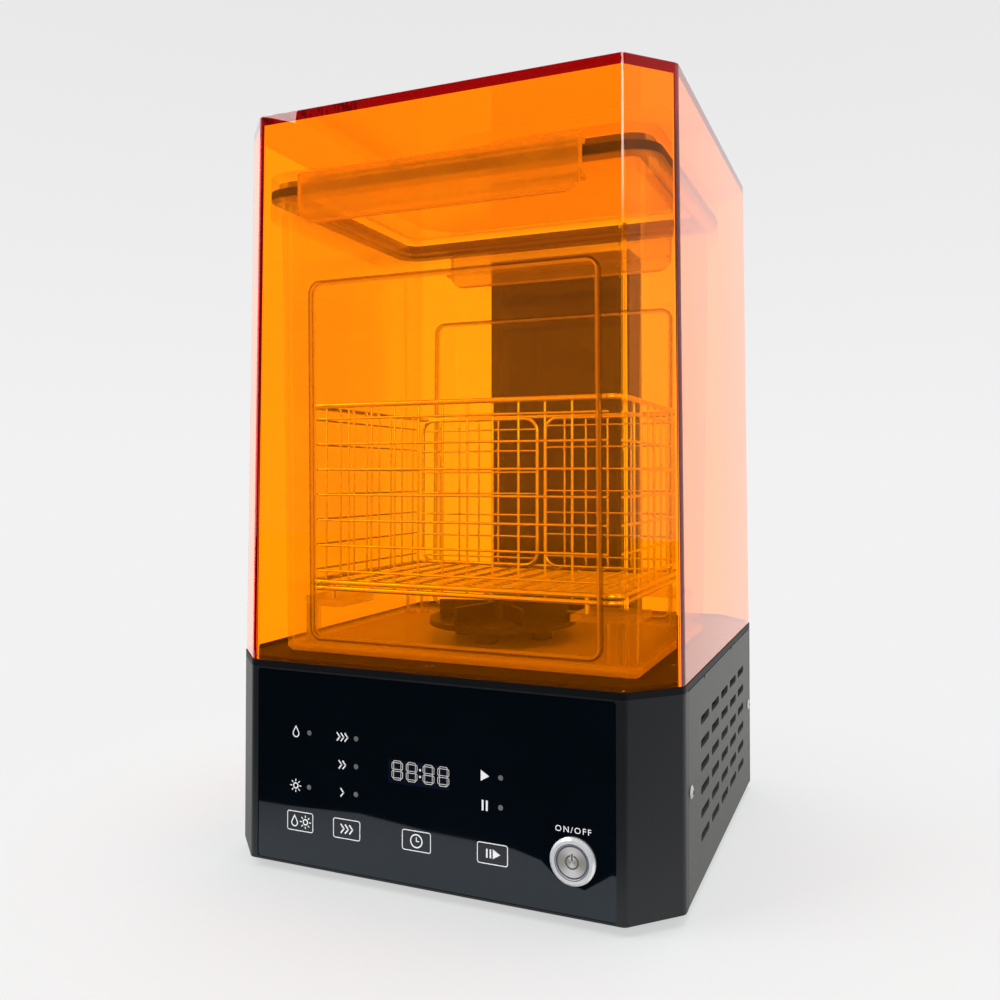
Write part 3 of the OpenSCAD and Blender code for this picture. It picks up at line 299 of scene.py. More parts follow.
def cast_orange_acrylic():
    """Cast acrylic sheet, clear and deep orange: pale where it is thin, dark red where it is seen edge on.
    Its volume holds a painted red glow, a little for each metre, which only shows where light runs far
    along the sheet."""
    material, tree = new_material("cast_orange_acrylic")
    clear = shader(tree, "BsdfPrincipled", {
        "Base Color": (1, 1, 1, 1), "Roughness": 0.0, "IOR": 1.49, "Transmission Weight": 1.0})
    ray = add_node(tree, "ShaderNodeLightPath").outputs
    soft_ray = maths(tree, "ADD", ray["Is Shadow Ray"], ray["Is Diffuse Ray"], clamp=True)
    skin = mix_shaders(tree, soft_ray, clear, shader(tree, "BsdfTransparent"))
    tint = shader(tree, "VolumeAbsorption", {
        "Color": (*settings().hood_colour, 1), "Density": settings().hood_density})
    # Painted glow: red light given off in the volume whatever light falls on the hood
    painted_glow = shader(tree, "Emission", {"Color": (1, 0, 0.03, 1), "Strength": PAINTED_EDGE_GLOW})
    return cover(material, skin, Volume=add_shaders(tree, tint, painted_glow))


def powder_coat(name, colour, roughness, shine=0.5):
    """Baked powder coat: a fine even orange peel with a soft sheen."""
    material, tree = new_material(name)
    peel = noise(tree, 0.45, 2.0)
    cloud = noise(tree, 18)
    return principled(material, {
        "Base Color": blend_colours(tree, cloud, *around(colour)),
        "Roughness": remap(tree, peel, roughness - 0.08, roughness + 0.08),
        "Specular IOR Level": shine,
        "Normal": bump(tree, peel, 0.05, 0.5)})


def gloss_black_overlay():
    """Back-printed acrylic overlay: deep blue-black under a mirror-flat clear face."""
    material, tree = new_material("gloss_black_overlay")
    haze = noise(tree, 40, 2.0)
    return principled(material, {
        "Base Color": blend_colours(tree, haze, *around(settings().panel_colour)),
        "Roughness": remap(tree, haze, 0.03, 0.06),
        "IOR": 1.62,
        "Specular Tint": linear("#e2f0ff")})


def smoked_display_window():
    """Smoked clear window in the overlay: a little bluer than the print round it."""
    material, tree = new_material("smoked_display_window")
    haze = noise(tree, 12, 2.0)
    return principled(material, {
        "Base Color": blend_colours(tree, haze, "#0b0f1d", "#10172a"),
        "Roughness": remap(tree, haze, 0.03, 0.05),
        "IOR": 1.49})


def moulded_plastic(name, dark, light, roughness):
    """Injection-moulded ABS with a fine spark-eroded grain."""
    material, tree = new_material(name)
    grain = noise(tree, 0.6, 2.0)
    return principled(material, {
        "Base Color": blend_colours(tree, noise(tree, 25), dark, light),
        "Roughness": remap(tree, grain, roughness - 0.06, roughness + 0.06),
        "Normal": bump(tree, grain, 0.02, 0.4)})


def metal(name, dark, light, roughness, grain_mm, stretch=(1, 1, 1)):
    """Bare metal with fine marks, drawn out along the way it was worked."""
    material, tree = new_material(name)
    drawn = add_node(tree, "ShaderNodeMapping", {"Vector": place(tree), "Scale": stretch})
    marks = noise(tree, grain_mm, 3.0, drawn.outputs["Vector"])
    return principled(material, {
        "Base Color": blend_colours(tree, marks, dark, light),
        "Metallic": 1.0,
        "Roughness": remap(tree, marks, roughness * 0.75, roughness * 1.25),
        "Normal": bump(tree, marks, 0.01, 0.3)})


def turned_steel(name, dark, light, roughness, metallic, shade_radii):
    """Lathe-turned stainless steel with fine rings about the button's axis, a fan of painted highlight
    drawn into the colour by angle, and a band of blue-grey painted shade between two radii in metres."""
    material, tree = new_material(name)
    centred = add_node(tree, "ShaderNodeMapping", {
        "Vector": place(tree), "Location": (-BUTTON_X, 0, -BUTTON_Z),
        "Scale": (1, 0, 1)}).outputs["Vector"]
    ring_pitch = 0.35 * MM
    rings = add_node(tree, "ShaderNodeTexWave", {
        "Vector": centred, "Scale": 1 / (ring_pitch * math.tau), "Distortion": 0.6,
        "Detail": 2.0}, wave_type="RINGS", rings_direction="SPHERICAL").outputs["Fac"]
    parts = add_node(tree, "ShaderNodeSeparateXYZ", {0: centred}).outputs
    # Painted highlight: the colour turns lighter in a fan by angle about the button's middle; the rings'
    # marks are the metal's own
    angle = maths(tree, "ARCTAN2", parts["Z"], parts["X"])
    fan = maths(tree, "COSINE", maths(tree, "MULTIPLY_ADD", angle, 2.0, -math.pi))
    mark = remap(tree, rings, -0.15, 0.15, 0.0, 1.0)
    share = maths(tree, "ADD", remap(tree, fan, 0.0, 1.0, -1.0, 1.0), mark, clamp=True)
    # Painted shade: a blue-grey band at the gap between bezel and cap
    middle = (shade_radii[0] + shade_radii[1]) / 2
    half = (shade_radii[1] - shade_radii[0]) / 2
    radius = vector_maths(tree, "LENGTH", centred)
    apart = maths(tree, "ABSOLUTE", maths(tree, "SUBTRACT", radius, middle))
    in_gap_shade = remap(tree, apart, 1.0, 0.0, half * 0.8, half * 1.1)
    return principled(material, {
        "Base Color": lay_colour(tree, in_gap_shade, blend_colours(tree, share, dark, light), GAP_SHADE_BLUE),
        "Metallic": metallic,
        "Roughness": remap(tree, rings, roughness, roughness + 0.12, 0.0, 1.0),
        "Normal": bump(tree, rings, 0.004, 0.3)})


def outline_distance(tree, size, radius, middle, plane="XZ"):
    """Distance to a rounded rectangle's outline in the XZ or XY plane, below zero inside it, in metres."""
    keep = (1, 0, 1) if plane == "XZ" else (1, 1, 0)
    half = [size[0] / 2 - radius, 0, 0]
    half["XYZ".index(plane[1])] = size[1] / 2 - radius
    centred = add_node(tree, "ShaderNodeMapping", {
        "Vector": place(tree), "Location": [-m * k for m, k in zip(middle, keep)],
        "Scale": keep}).outputs["Vector"]
    beyond = vector_maths(tree, "SUBTRACT", vector_maths(tree, "ABSOLUTE", centred), half)
    corner = vector_maths(tree, "LENGTH", vector_maths(tree, "MAXIMUM", beyond, (0, 0, 0)))
    parts = add_node(tree, "ShaderNodeSeparateXYZ", {0: beyond}).outputs
    inside = maths(tree, "MINIMUM", maths(tree, "MAXIMUM", parts["X"], parts[plane[1]]), 0.0)
    return maths(tree, "SUBTRACT", maths(tree, "ADD", corner, inside), radius)


def rib_shade_and_highlight(tree):
    """Two patterns for the bucket's raised outline: painted shade on its dark side, a painted highlight on
    its bright side.
    """
    line = settings().rib_line
    off = outline_distance(tree, (RIB_WIDTH, RIB_HEIGHT), RIB_RADIUS, (0, 0, RIB_MIDDLE_Z))
    sides = []
    for inset in RIB_INSETS:
        apart = maths(tree, "ABSOLUTE", maths(tree, "ADD", off, line * inset))
        sides.append(remap(tree, apart, 1.0, 0.0, line * 0.2, line * 0.45))
    return sides


def flap_edge_highlight(tree, name):
    """Painted highlight along a lock flap's outline: a pattern that is 1 along the outline and 0 inside it.
    """
    low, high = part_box(name)
    middle = ((low.x + high.x) / 2, 0, (low.z + high.z) / 2)
    off = outline_distance(tree, (high.x - low.x, high.z - low.z), FLAP_RADIUS, middle)
    return remap(tree, off, 0.0, 1.0, -FLAP_HIGHLIGHT_END, -FLAP_HIGHLIGHT_FULL)


def frosted_floor(tree):
    """Pattern that is 1 in the bucket's frosted floor and 0 above it."""
    return remap(tree, height_of(tree), 1.0, 0.0, BUCKET_LOW.z + FROST_TOP, BUCKET_LOW.z + FROST_END)


def translucent_plastic(name, tint, edge_tint, milk_share, gloss_share, roughness, line=None,
                        frost_and_highlight=None):
    """Moulded translucent plastic: most light goes straight through and a little is scattered. The wall
    looks deeper in colour where it is seen edge on, and milky where it is frosted. A raised line gets
    painted shade and a painted highlight, and an outline can get a painted highlight as extra milk."""
    material, tree = new_material(name)
    cloud = noise(tree, 24, 2.0)
    grain = noise(tree, 3, 2.0)
    slant = add_node(tree, "ShaderNodeLayerWeight", {"Blend": 0.5}).outputs["Facing"]
    colour = blend_colours(tree, remap(tree, slant, 0.0, 1.0, 0.75, 1.0), tint, edge_tint)
    milky = [] if frost_and_highlight is None else [frost_and_highlight(tree)]
    # Painted shade and painted highlight along the raised line: its dark side is greyed and its bright side
    # made milkier
    if line is not None:
        dark, bright = line(tree)
        milky.append(bright)
        colour = lay_colour(tree, dark, colour, RIB_SHADE_GREY)
    share = remap(tree, cloud, milk_share * 0.8, milk_share * 1.2)
    for pattern in milky:
        share = maths(tree, "ADD", share, maths(tree, "MULTIPLY", pattern, FROST_AND_HIGHLIGHT_EXTRA), clamp=True)
    scattered = mix_shaders(tree, 0.5, shader(tree, "BsdfTranslucent", {"Color": linear(tint)}),
                            shader(tree, "BsdfDiffuse", {"Color": linear(tint)}))
    body = mix_shaders(tree, share, shader(tree, "BsdfTransparent", {"Color": colour}), scattered)
    skin = shader(tree, "BsdfGlossy", {
        "Color": (1, 1, 1, 1), "Roughness": roughness, "Normal": bump(tree, grain, 0.02, 0.3)})
    edge = add_node(tree, "ShaderNodeFresnel", {"IOR": 1.5}).outputs[0]
    whole = mix_shaders(tree, maths(tree, "MULTIPLY", edge, gloss_share), body, skin)
    return cover(material, whole)


def two_shot_gasket():
    """Two-shot silicone: a black outer bead and a smoky tongue, on a translucent web."""
    material, tree = new_material("two_shot_silicone_gasket")
    low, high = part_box("gasket")
    middle = ((low.x + high.x) / 2, (low.y + high.y) / 2, 0)
    off = outline_distance(tree, (high.x - low.x, high.y - low.y), RIM_RADIUS, middle, "XY")
    bead = remap(tree, off, 0.0, 1.0, -GASKET_BEAD * 1.2, -GASKET_BEAD)
    web_top = low.z + GASKET_WEB
    tongue = remap(tree, height_of(tree), 0.0, TONGUE_DARKNESS, web_top, web_top + 0.2 * MM)
    black = shader(tree, "BsdfPrincipled", {
        "Base Color": blend_colours(tree, noise(tree, 6), "#0b0a09", "#141210"), "Roughness": 0.6})
    web = mix_shaders(tree, 0.25, shader(tree, "BsdfTransparent", {"Color": linear("#d8d4c8")}),
                      shader(tree, "BsdfTranslucent", {"Color": linear("#e8e4da")}))
    whole = mix_shaders(tree, maths(tree, "MAXIMUM", bead, tongue), web, black)
    return cover(material, whole)


def silicone_rubber(name, dark, light):
    """Moulded silicone: matte, with a faint bloom."""
    material, tree = new_material(name)
    bloom = noise(tree, 6)
    return principled(material, {
        "Base Color": blend_colours(tree, bloom, dark, light),
        "Roughness": remap(tree, bloom, 0.55, 0.7),
        "Normal": bump(tree, noise(tree, 0.5, 2.0), 0.02, 0.3)})


def printed_layer(name, dark, light, smooth, rough, grain_mm):
    """Thin printed or moulded layer: slightly uneven in colour and gloss."""
    material, tree = new_material(name)
    speckle = noise(tree, grain_mm, 2.0)
    return principled(material, {
        "Base Color": blend_colours(tree, speckle, dark, light),
        "Roughness": remap(tree, speckle, smooth, rough)})


def epoxy_lens(name, dark, light):
    """Cast epoxy light-emitting diode lens with a satin dome."""
    material, tree = new_material(name)
    cloud = noise(tree, 1.2, 2.0)
    return principled(material, {
        "Base Color": blend_colours(tree, cloud, dark, light),
        "Roughness": remap(tree, cloud, 0.2, 0.35),
        "IOR": 1.55})


def solder_mask():
    """Fibreglass board under green solder mask, with faint copper tracks."""
    material, tree = new_material("green_solder_mask")
    tracks = add_node(tree, "ShaderNodeTexBrick", {
        "Vector": place(tree), "Scale": 120.0, "Color1": linear("#0d3a1c"),
        "Color2": linear("#124525"), "Mortar": linear("#2c6a35"), "Mortar Size": 0.02})
    return principled(material, {"Base Color": tracks.outputs["Color"], "Roughness": 0.35})


def seamless_paper():
    """Pale studio paper that fades into the room's light away from the machine, so it has no horizon."""
    material, tree = new_material("seamless_studio_paper")
    lit = shader(tree, "BsdfDiffuse", {
        "Color": blend_colours(tree, noise(tree, 4), "#8c8e8e", "#909292")})
    glow = shader(tree, "Emission", {"Color": (1, 1, 1, 1), "Strength": 0.53})
    distance = vector_maths(tree, "LENGTH", place(tree))
    fade = remap(tree, distance, 0.0, 1.0, *FLOOR_FADE, interpolation="SMOOTHSTEP")
    whole = mix_shaders(tree, fade, add_shaders(tree, lit, glow), shader(tree, "BsdfTransparent"))
    return cover(material, whole)


def black_flag():
    """Black velvet card that keeps the bright room off the glossy front."""
    material, tree = new_material("black_velvet_card")
    pile = noise(tree, 2, 2.0)
    return principled(material, {
        "Base Color": blend_colours(tree, pile, "#020202", "#040404"), "Roughness": 1.0,
        "Specular IOR Level": 0.0})


def light_card():
    """Glowing diffuser card, a little uneven like a lit cloth, that fades out towards its lower end."""
    material, tree = new_material("lit_diffuser_card")
    weave = remap(tree, noise(tree, 60, 2.0), 9.0, 12.0)
    fade = remap(tree, height_of(tree), 0.0, 1.0, STRIP_LOW, STRIP_LOW + STRIP_FADE)
    glow = shader(tree, "Emission", {
        "Color": (1, 1, 1, 1), "Strength": maths(tree, "MULTIPLY", weave, fade)})
    return cover(material, glow)


# Mesh helpers

def add_object(name, data):
    """A new object in the scene."""
    made = bpy.data.objects.new(name, data)
    bpy.context.scene.collection.objects.link(made)
    return made


def evaluated_mesh(holder):
    """Mesh that an object's modifier or curve makes."""
    bpy.context.view_layer.update()
    graph = bpy.context.evaluated_depsgraph_get()
    return bpy.data.meshes.new_from_object(holder.evaluated_get(graph))


def finish_mesh(name, builder, material, body, smooth=False):
    """Makes a piece from a bmesh, gives it its material and lets it ride on its body."""
    bmesh.ops.recalc_face_normals(builder, faces=builder.faces)
    mesh = bpy.data.meshes.new(name)
    builder.to_mesh(mesh)
    builder.free()
    mesh.materials.append(material)
    for face in mesh.polygons:
        face.use_smooth = smooth
    piece = add_object(name, mesh)
    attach(piece, body)
    return piece


def dress(names, material):
    """Gives CAD nodes their finished material."""
    for name in names:
        NODES[name].data.materials.clear()
        NODES[name].data.materials.append(material)


def add_plate(builder, outline):
    """Printed patch on the panel's face, with an outline of (x, z) points in metres."""
    back = [builder.verts.new((x, PANEL_FACE_Y, z)) for x, z in outline]
    front = [builder.verts.new((x, PANEL_FACE_Y - INK_DEPTH, z)) for x, z in outline]
    builder.faces.new(front)
    builder.faces.new(back[::-1])
    for i in range(len(outline)):
        j = (i + 1) % len(outline)
        builder.faces.new((front[i], back[i], back[j], front[j]))


def add_band(builder, outer, inner):
    """Printed band on the panel's face, between two outlines with the same number of points."""
    front_y = PANEL_FACE_Y - INK_DEPTH
    rows = [[builder.verts.new((x, y, z)) for x, z in line]
            for line, y in ((outer, PANEL_FACE_Y), (outer, front_y),
                            (inner, front_y), (inner, PANEL_FACE_Y))]
    for first, second in zip(rows, rows[1:] + rows[:1]):
        for i in range(len(outer)):
            j = (i + 1) % len(outer)
            builder.faces.new((first[i], first[j], second[j], second[i]))


def circle_outline(x, z, radius, count=32):
    turns = [math.tau * i / count for i in range(count)]
    return [(x + radius * math.cos(turn), z + radius * math.sin(turn)) for turn in turns]


def rounded_outline(x, z, width, height, radius, steps=6):
    """Rounded rectangle as (x, z) points."""
    points = []
    for corner, (sx, sz) in enumerate(((1, 1), (-1, 1), (-1, -1), (1, -1))):
        cx = x + sx * (width / 2 - radius)
        cz = z + sz * (height / 2 - radius)
        for i in range(steps + 1):
            angle = math.radians(90 * corner + 90 * i / steps)
            points.append((cx + radius * math.cos(angle), cz + radius * math.sin(angle)))
    return points


def bar(builder, x, z, width, height, turn=0.0):
    """Printed bar about its middle, turned in the panel's plane."""
    c, s = math.cos(turn), math.sin(turn)
    corners = [(sx * width / 2, sz * height / 2) for sx, sz in ((-1, -1), (1, -1), (1, 1), (-1, 1))]
    add_plate(builder, [(x + px * c - pz * s, z + px * s + pz * c) for px, pz in corners])


def ring(builder, x, z, radius, line):
    add_band(builder, circle_outline(x, z, radius), circle_outline(x, z, radius - line))


def sun_icon(builder, x, z, size):
    """Sun for curing: a small ring with eight rays."""
    ring(builder, x, z, size * 0.24, size * 0.09)
    reach = size * 0.41
    for i in range(8):
        turn = math.pi * i / 4
        bar(builder, x + reach * math.cos(turn), z + reach * math.sin(turn), size * 0.17, size * 0.08,
            turn)


def drop_icon(builder, x, z, size):
    """Drop for washing: a round belly that closes to a point at the top."""
    low = z - size * 0.14

    def outline(scale):
        radius = size * 0.30 * scale
        turns = [math.radians(150 + 240 * i / 20) for i in range(21)]
        belly = [(x + radius * math.cos(turn), low + radius * math.sin(turn)) for turn in turns]
        return belly + [(x, low + size * 0.62 * scale)]

    add_band(builder, outline(1.0), outline(0.72))


def chevrons(builder, x, z, size, count=3):
    """One to three arrowheads side by side, for the stirring speeds."""
    step = size * 0.34
    for i in range(count):
        tip = x + (i - (count - 1) / 2) * step + size * 0.14
        for side in (1, -1):
            bar(builder, tip - size * 0.13, z + side * size * 0.145, size * 0.42, size * 0.1,
                -side * math.radians(50))


def triangle(builder, x, z, size):
    left = x - size * 0.4
    add_plate(builder, [(left, z - size / 2), (x + size * 0.45, z), (left, z + size / 2)])


def pause_bars(builder, x, z, size):
    for side in (-1, 1):
        bar(builder, x + side * size * 0.22, z, size * 0.2, size)


def clock_icon(builder, x, z, size):
    ring(builder, x, z, size / 2, size * 0.09)
    bar(builder, x, z + size * 0.13, size * 0.08, size * 0.3)
    bar(builder, x + size * 0.1, z - size * 0.01, size * 0.26, size * 0.08)


def printed_text(builder, words, x, z, width, height):
    """Flat lettering in the panel's plane, fitted to a width and a height."""
    curve = bpy.data.curves.new(words, "FONT")
    curve.body = words
    curve.extrude = 0.01
    curve.space_character = 1.3
    curve.offset = 0.004
    curve.resolution_u = 4
    holder = add_object("lettering", curve)
    flat = evaluated_mesh(holder)
    bpy.data.objects.remove(holder)
    bpy.data.curves.remove(curve)
    low = [min(v.co[i] for v in flat.vertices) for i in range(2)]
    high = [max(v.co[i] for v in flat.vertices) for i in range(2)]
    for v in flat.vertices:
        across = (v.co.x - (low[0] + high[0]) / 2) / (high[0] - low[0]) * width
        up = (v.co.y - (low[1] + high[1]) / 2) / (high[1] - low[1]) * height
        v.co = (x + across, PANEL_FACE_Y - (INK_DEPTH if v.co.z > 0 else 0), z + up)
    builder.from_mesh(flat)
    bpy.data.meshes.remove(flat)


def segment(builder, x, z, length, upright, thickness):
    """Unlit display segment: a pointed bar, drawn as its outline."""
    def outline(inset):
        half = length / 2 - inset * 1.4
        wide = thickness / 2 - inset
        points = [(-half, 0), (-half + wide, -wide), (half - wide, -wide),
                  (half, 0), (half - wide, wide), (-half + wide, wide)]
        return [(x - pz, z + px) if upright else (x + px, z + pz) for px, pz in points]

    add_band(builder, outline(0), outline(SEGMENT_LINE))


def digit(builder, x, z, width, height):
    """Seven unlit segments."""
    thickness = width * 0.2
    across = width - thickness * 0.8
    tall = (height - thickness) / 2
    gap = thickness * 0.3
    for level in (-1, 0, 1):
        segment(builder, x, z + level * tall, across - gap, False, thickness)
    for side in (-1, 1):
        for level in (-1, 1):
            segment(builder, x + side * across / 2, z + level * tall / 2, tall - gap, True, thickness)


# Geometry Nodes

def weld_tree(material):
    """Node tree that lays weld spots on a grid: across and along, turned, then moved to its place."""
    tree = bpy.data.node_groups.new("weld_spots", "GeometryNodeTree")
    face = tree.interface
    face.new_socket("Geometry", in_out="OUTPUT", socket_type="NodeSocketGeometry")
    sockets = {"Spots across": "Int", "Spots along": "Int", "Width": "Float", "Length": "Float",
               "Turn": "Vector", "Middle": "Vector", "Spot radius": "Float"}
    for name, kind in sockets.items():
        face.new_socket(name, in_out="INPUT", socket_type="NodeSocket" + kind)
    inputs = add_node(tree, "NodeGroupInput").outputs
    grid = add_node(tree, "GeometryNodeMeshGrid", {
        "Size X": inputs["Width"], "Size Y": inputs["Length"],
        "Vertices X": inputs["Spots across"], "Vertices Y": inputs["Spots along"]})
    spot = add_node(tree, "GeometryNodeMeshIcoSphere", {
        "Radius": inputs["Spot radius"], "Subdivisions": 1})
    spots = add_node(tree, "GeometryNodeInstanceOnPoints", {
        "Points": grid.outputs["Mesh"], "Instance": spot.outputs["Mesh"]})
    moved = add_node(tree, "GeometryNodeTransform", {
        "Geometry": spots.outputs["Instances"], "Rotation": inputs["Turn"],
        "Translation": inputs["Middle"]})
    real = add_node(tree, "GeometryNodeRealizeInstances", {"Geometry": moved.outputs["Geometry"]})
    painted = add_node(tree, "GeometryNodeSetMaterial", {
        "Geometry": real.outputs["Geometry"], "Material": material})
    add_node(tree, "NodeGroupOutput", {"Geometry": painted.outputs["Geometry"]})
    return tree


def grow(tree, values, builder):
    """Runs a node tree with these named inputs and adds its mesh to the builder."""
    holder = add_object("node_holder", bpy.data.meshes.new("node_holder"))
    modifier = holder.modifiers.new("nodes", "NODES")
    modifier.node_group = tree
    for item in tree.interface.items_tree:
        if item.in_out == "INPUT":
            modifier[item.identifier] = values[item.name]
    mesh = evaluated_mesh(holder)
    holder.modifiers.remove(modifier)
    bpy.data.objects.remove(holder)
    builder.from_mesh(mesh)
    bpy.data.meshes.remove(mesh)


# Operators: one for each group of pieces

class STATION_OT_hood(bpy.types.Operator):
    """Gives the hood its clear orange acrylic"""
    bl_idname = "station.hood"
    bl_label = "Hood"

    def execute(self, context):
        dress(["hood"], cast_orange_acrylic())
        return {"FINISHED"}


class STATION_OT_base(bpy.types.Operator):
    """Coats the base's shells and gives its feet and screws their finish"""
    bl_idname = "station.base"
    bl_label = "Base"

    def execute(self, context):
        shell = settings().shell_colour
        dress(["deck"], powder_coat("deck_powder_coat", [0.5 * part for part in shell], 0.6, shine=0.2))
        dress(["front_frame", "rear_frame", "bottom_tray"],
              powder_coat("black_powder_coat", shell, 0.5))
        dress(["side_panel_left", "side_panel_right"],
              powder_coat("grey_powder_coat", settings().side_colour, 0.55))
        dress(["deck_screws"], metal("blackened_screw_steel", "#2b2b2b", "#3a3a3a", 0.35, 0.4))
        dress(["side_screws"], metal("bright_screw_steel", "#a8a8a6", "#c9c9c6", 0.25, 0.4))
        dress(["feet"], silicone_rubber("foot_rubber", "#141414", "#1b1b1b"))
        return {"FINISHED"}


class STATION_OT_panel(bpy.types.Operator):
    """Finishes the touch panel and prints its key boxes and symbols"""
    bl_idname = "station.panel"
    bl_label = "Touch panel"

    def execute(self, context):
        dress(["front_panel"], gloss_black_overlay())
        dress(["display_lens"], smoked_display_window())
        dress(["indicator_leds"], epoxy_lens("indicator_lens", "#605f5c", "#7d7c78"))
        dress(["touch_pads"], metal("touch_spring_brass", "#b08d4f", "#caa765", 0.3, 0.5))
        self.print_panel()
        self.add_segments()
        return {"FINISHED"}

    def print_panel(self):
        """Prints the key boxes and their symbols, the lights' symbols, and the words over the switch."""
        ink = bmesh.new()
        for x in KEY_XS:
            add_band(ink, rounded_outline(x, KEY_Z, KEY_WIDTH, KEY_HEIGHT, KEY_RADIUS),
                     rounded_outline(x, KEY_Z, KEY_WIDTH - 2 * KEY_LINE, KEY_HEIGHT - 2 * KEY_LINE,
                                     KEY_RADIUS - KEY_LINE))
        # Symbols in the boxes: box, symbol, millimetres to the right of the box's middle, size
        for key, draw, aside, high in ((0, drop_icon, -3.2, 6.4), (0, sun_icon, 3, 6.4),
                                       (1, chevrons, 0, 7), (2, clock_icon, 0, 6.4),
                                       (3, pause_bars, -1.8, 3.9), (3, triangle, 1.9, 4.2)):
            draw(ink, KEY_XS[key] + aside * MM, KEY_Z, high * MM)
        size = settings().symbol_size
        rows = [LIGHT_LOW_Z + i * LIGHT_PITCH for i in range(3)]
        drop_icon(ink, MODE_X - SYMBOL_LEFT, rows[2], size)
        sun_icon(ink, MODE_X - SYMBOL_LEFT, rows[0], size)
        for i, z in enumerate(rows):
            chevrons(ink, SPEED_X - SYMBOL_LEFT, z, size, i + 1)
        run_z = LIGHT_LOW_Z + RUN_LIFT * LIGHT_PITCH
        pause_bars(ink, RUN_X - SYMBOL_LEFT, run_z, size * 0.72)
        triangle(ink, RUN_X - SYMBOL_LEFT, run_z + LIGHT_PITCH, size * 0.76)
        printed_text(ink, "ON/OFF", BUTTON_X, WORDS_Z, WORDS_WIDTH, WORDS_HEIGHT)
        # White screen-printed ink, matte
        white = printed_layer("screen_printed_ink", "#f2f3f4", "#fdfdfd", 0.4, 0.6, 0.3)
        piece = finish_mesh("panel_print", ink, white, "base")

    def add_segments(self):
        """Adds four unlit digits and the colon between them."""
        glass = bmesh.new()
        for side in (-1, 1):
            # Pitches from the colon to the two digits on this side
            for step in (0.58, 1.58):
                digit(glass, DIGITS_X + side * step * DIGIT_PITCH, DIGITS_Z, DIGIT_WIDTH, DIGIT_HEIGHT)
            dot_z = DIGITS_Z + side * DIGIT_HEIGHT * 0.17
            add_plate(glass, circle_outline(DIGITS_X, dot_z, COLON_RADIUS, 16))
        # Moulded diffuser of an unlit segment, a pale warm grey
        pale = printed_layer("display_segment_diffuser", "#e6e4d8", "#f6f4ea", 0.3, 0.45, 0.4)
        piece = finish_mesh("display_segments", glass, pale, "base")


class STATION_OT_button(bpy.types.Operator):
    """Finishes the metal power button"""
    bl_idname = "station.button"
    bl_label = "Power button"

    def execute(self, context):
        low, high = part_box("button_cap")
        rim = (high.x - low.x) / 2
        # Painted light on both pieces: a fan highlight and a gap shade; their near-white colours with
        # little metal stand in for the pale floor's reflection
        dress(["button_bezel"], turned_steel("turned_chrome_bezel", "#f4f6fa", "#ffffff", 0.12, 0.4,
                                             (rim + 0.1 * MM, rim + 0.5 * MM)))
        dress(["button_cap"], turned_steel("turned_stainless_cap", "#b4afa6", "#fafaf8", 0.36, 0.6,
                                           (rim - 0.9 * MM, rim - 0.1 * MM)))
        dress(["button_nut"], metal("plated_nut_steel", "#c9cacc", "#dcdddf", 0.2, 2.0))
        dress(["power_symbol"], moulded_plastic("symbol_light_guide", "#4a4d52", "#5a5d62", 0.3))
        return {"FINISHED"}


class STATION_OT_inside(bpy.types.Operator):
    """Finishes the boards, the fan, the motor and the socket inside the base"""
    bl_idname = "station.inside"
    bl_label = "Inside the base"

    def execute(self, context):
        dress(["display_board", "control_board"], solder_mask())
        dress(["display_module", "board_parts", "button_switch", "power_inlet"],
              moulded_plastic("black_component_plastic", "#121212", "#1c1c1c", 0.4))
        dress(["fan_frame", "fan_rotor"], moulded_plastic("fan_plastic", "#101010", "#191919", 0.45))
        dress(["motor", "drive_shaft"],
              metal("satin_motor_steel", "#8b8b89", "#a7a7a4", 0.32, 0.5, (1, 1, 6)))
        dress(["motor_bracket", "magnet_carrier"],
              metal("satin_aluminium", "#b4b5b7", "#cacbcd", 0.35, 0.6))
        dress(["drive_magnets"], metal("nickel_plated_magnet", "#a9a8a2", "#c4c3bd", 0.18, 1.0))
        return {"FINISHED"}


class STATION_OT_lamp(bpy.types.Operator):
    """Finishes the lamp column"""
    bl_idname = "station.lamp"
    bl_label = "Lamp column"

    def execute(self, context):
        dress(["lamp_column", "column_cap"],
              moulded_plastic("column_plastic", "#141414", "#1b1b1b", 0.45))
        dress(["lamp_window"],
              translucent_plastic("lamp_window_glass", "#50505a", "#34343c", 0.03, 0.8, 0.05))
        dress(["lamp_board"], metal("white_mask_aluminium", "#cfcfcf", "#dedede", 0.5, 0.8))
        dress(["lamp_leds"], epoxy_lens("lamp_phosphor", "#c8b13f", "#dcc860"))
        dress(["lamp_heatsink"],
              metal("extruded_heatsink", "#a0a1a3", "#b9babc", 0.4, 0.5, (1, 1, 0.1)))
        return {"FINISHED"}


class STATION_OT_bucket(bpy.types.Operator):
    """Finishes the wash bucket and its shelves"""
    bl_idname = "station.bucket"
    bl_label = "Wash bucket"

    def execute(self, context):
        dress(["bucket"], translucent_plastic(
            "frosted_polypropylene", "#fefefc", "#d2cec4", 0.022, 0.25, 0.2, rib_shade_and_highlight, frosted_floor))
        dress(["basket_shelves"],
              translucent_plastic("shelf_polypropylene", "#fbfaf6", "#d6d2c6", 0.12, 0.6, 0.3))
        return {"FINISHED"}


class STATION_OT_stirrer(bpy.types.Operator):
    """Finishes the magnetic stirrer"""
    bl_idname = "station.stirrer"
    bl_label = "Stirrer"

    def execute(self, context):
        dress(["impeller", "impeller_cap"],
              moulded_plastic("impeller_acetal", "#171717", "#202020", 0.35))
        dress(["impeller_magnets"], metal("sealed_magnet_nickel", "#a9a8a2", "#c4c3bd", 0.2, 1.0))
        dress(["stir_pin"], metal("ground_pin_steel", "#a5a5a3", "#bdbdbb", 0.2, 0.5, (1, 1, 0.2)))
        return {"FINISHED"}


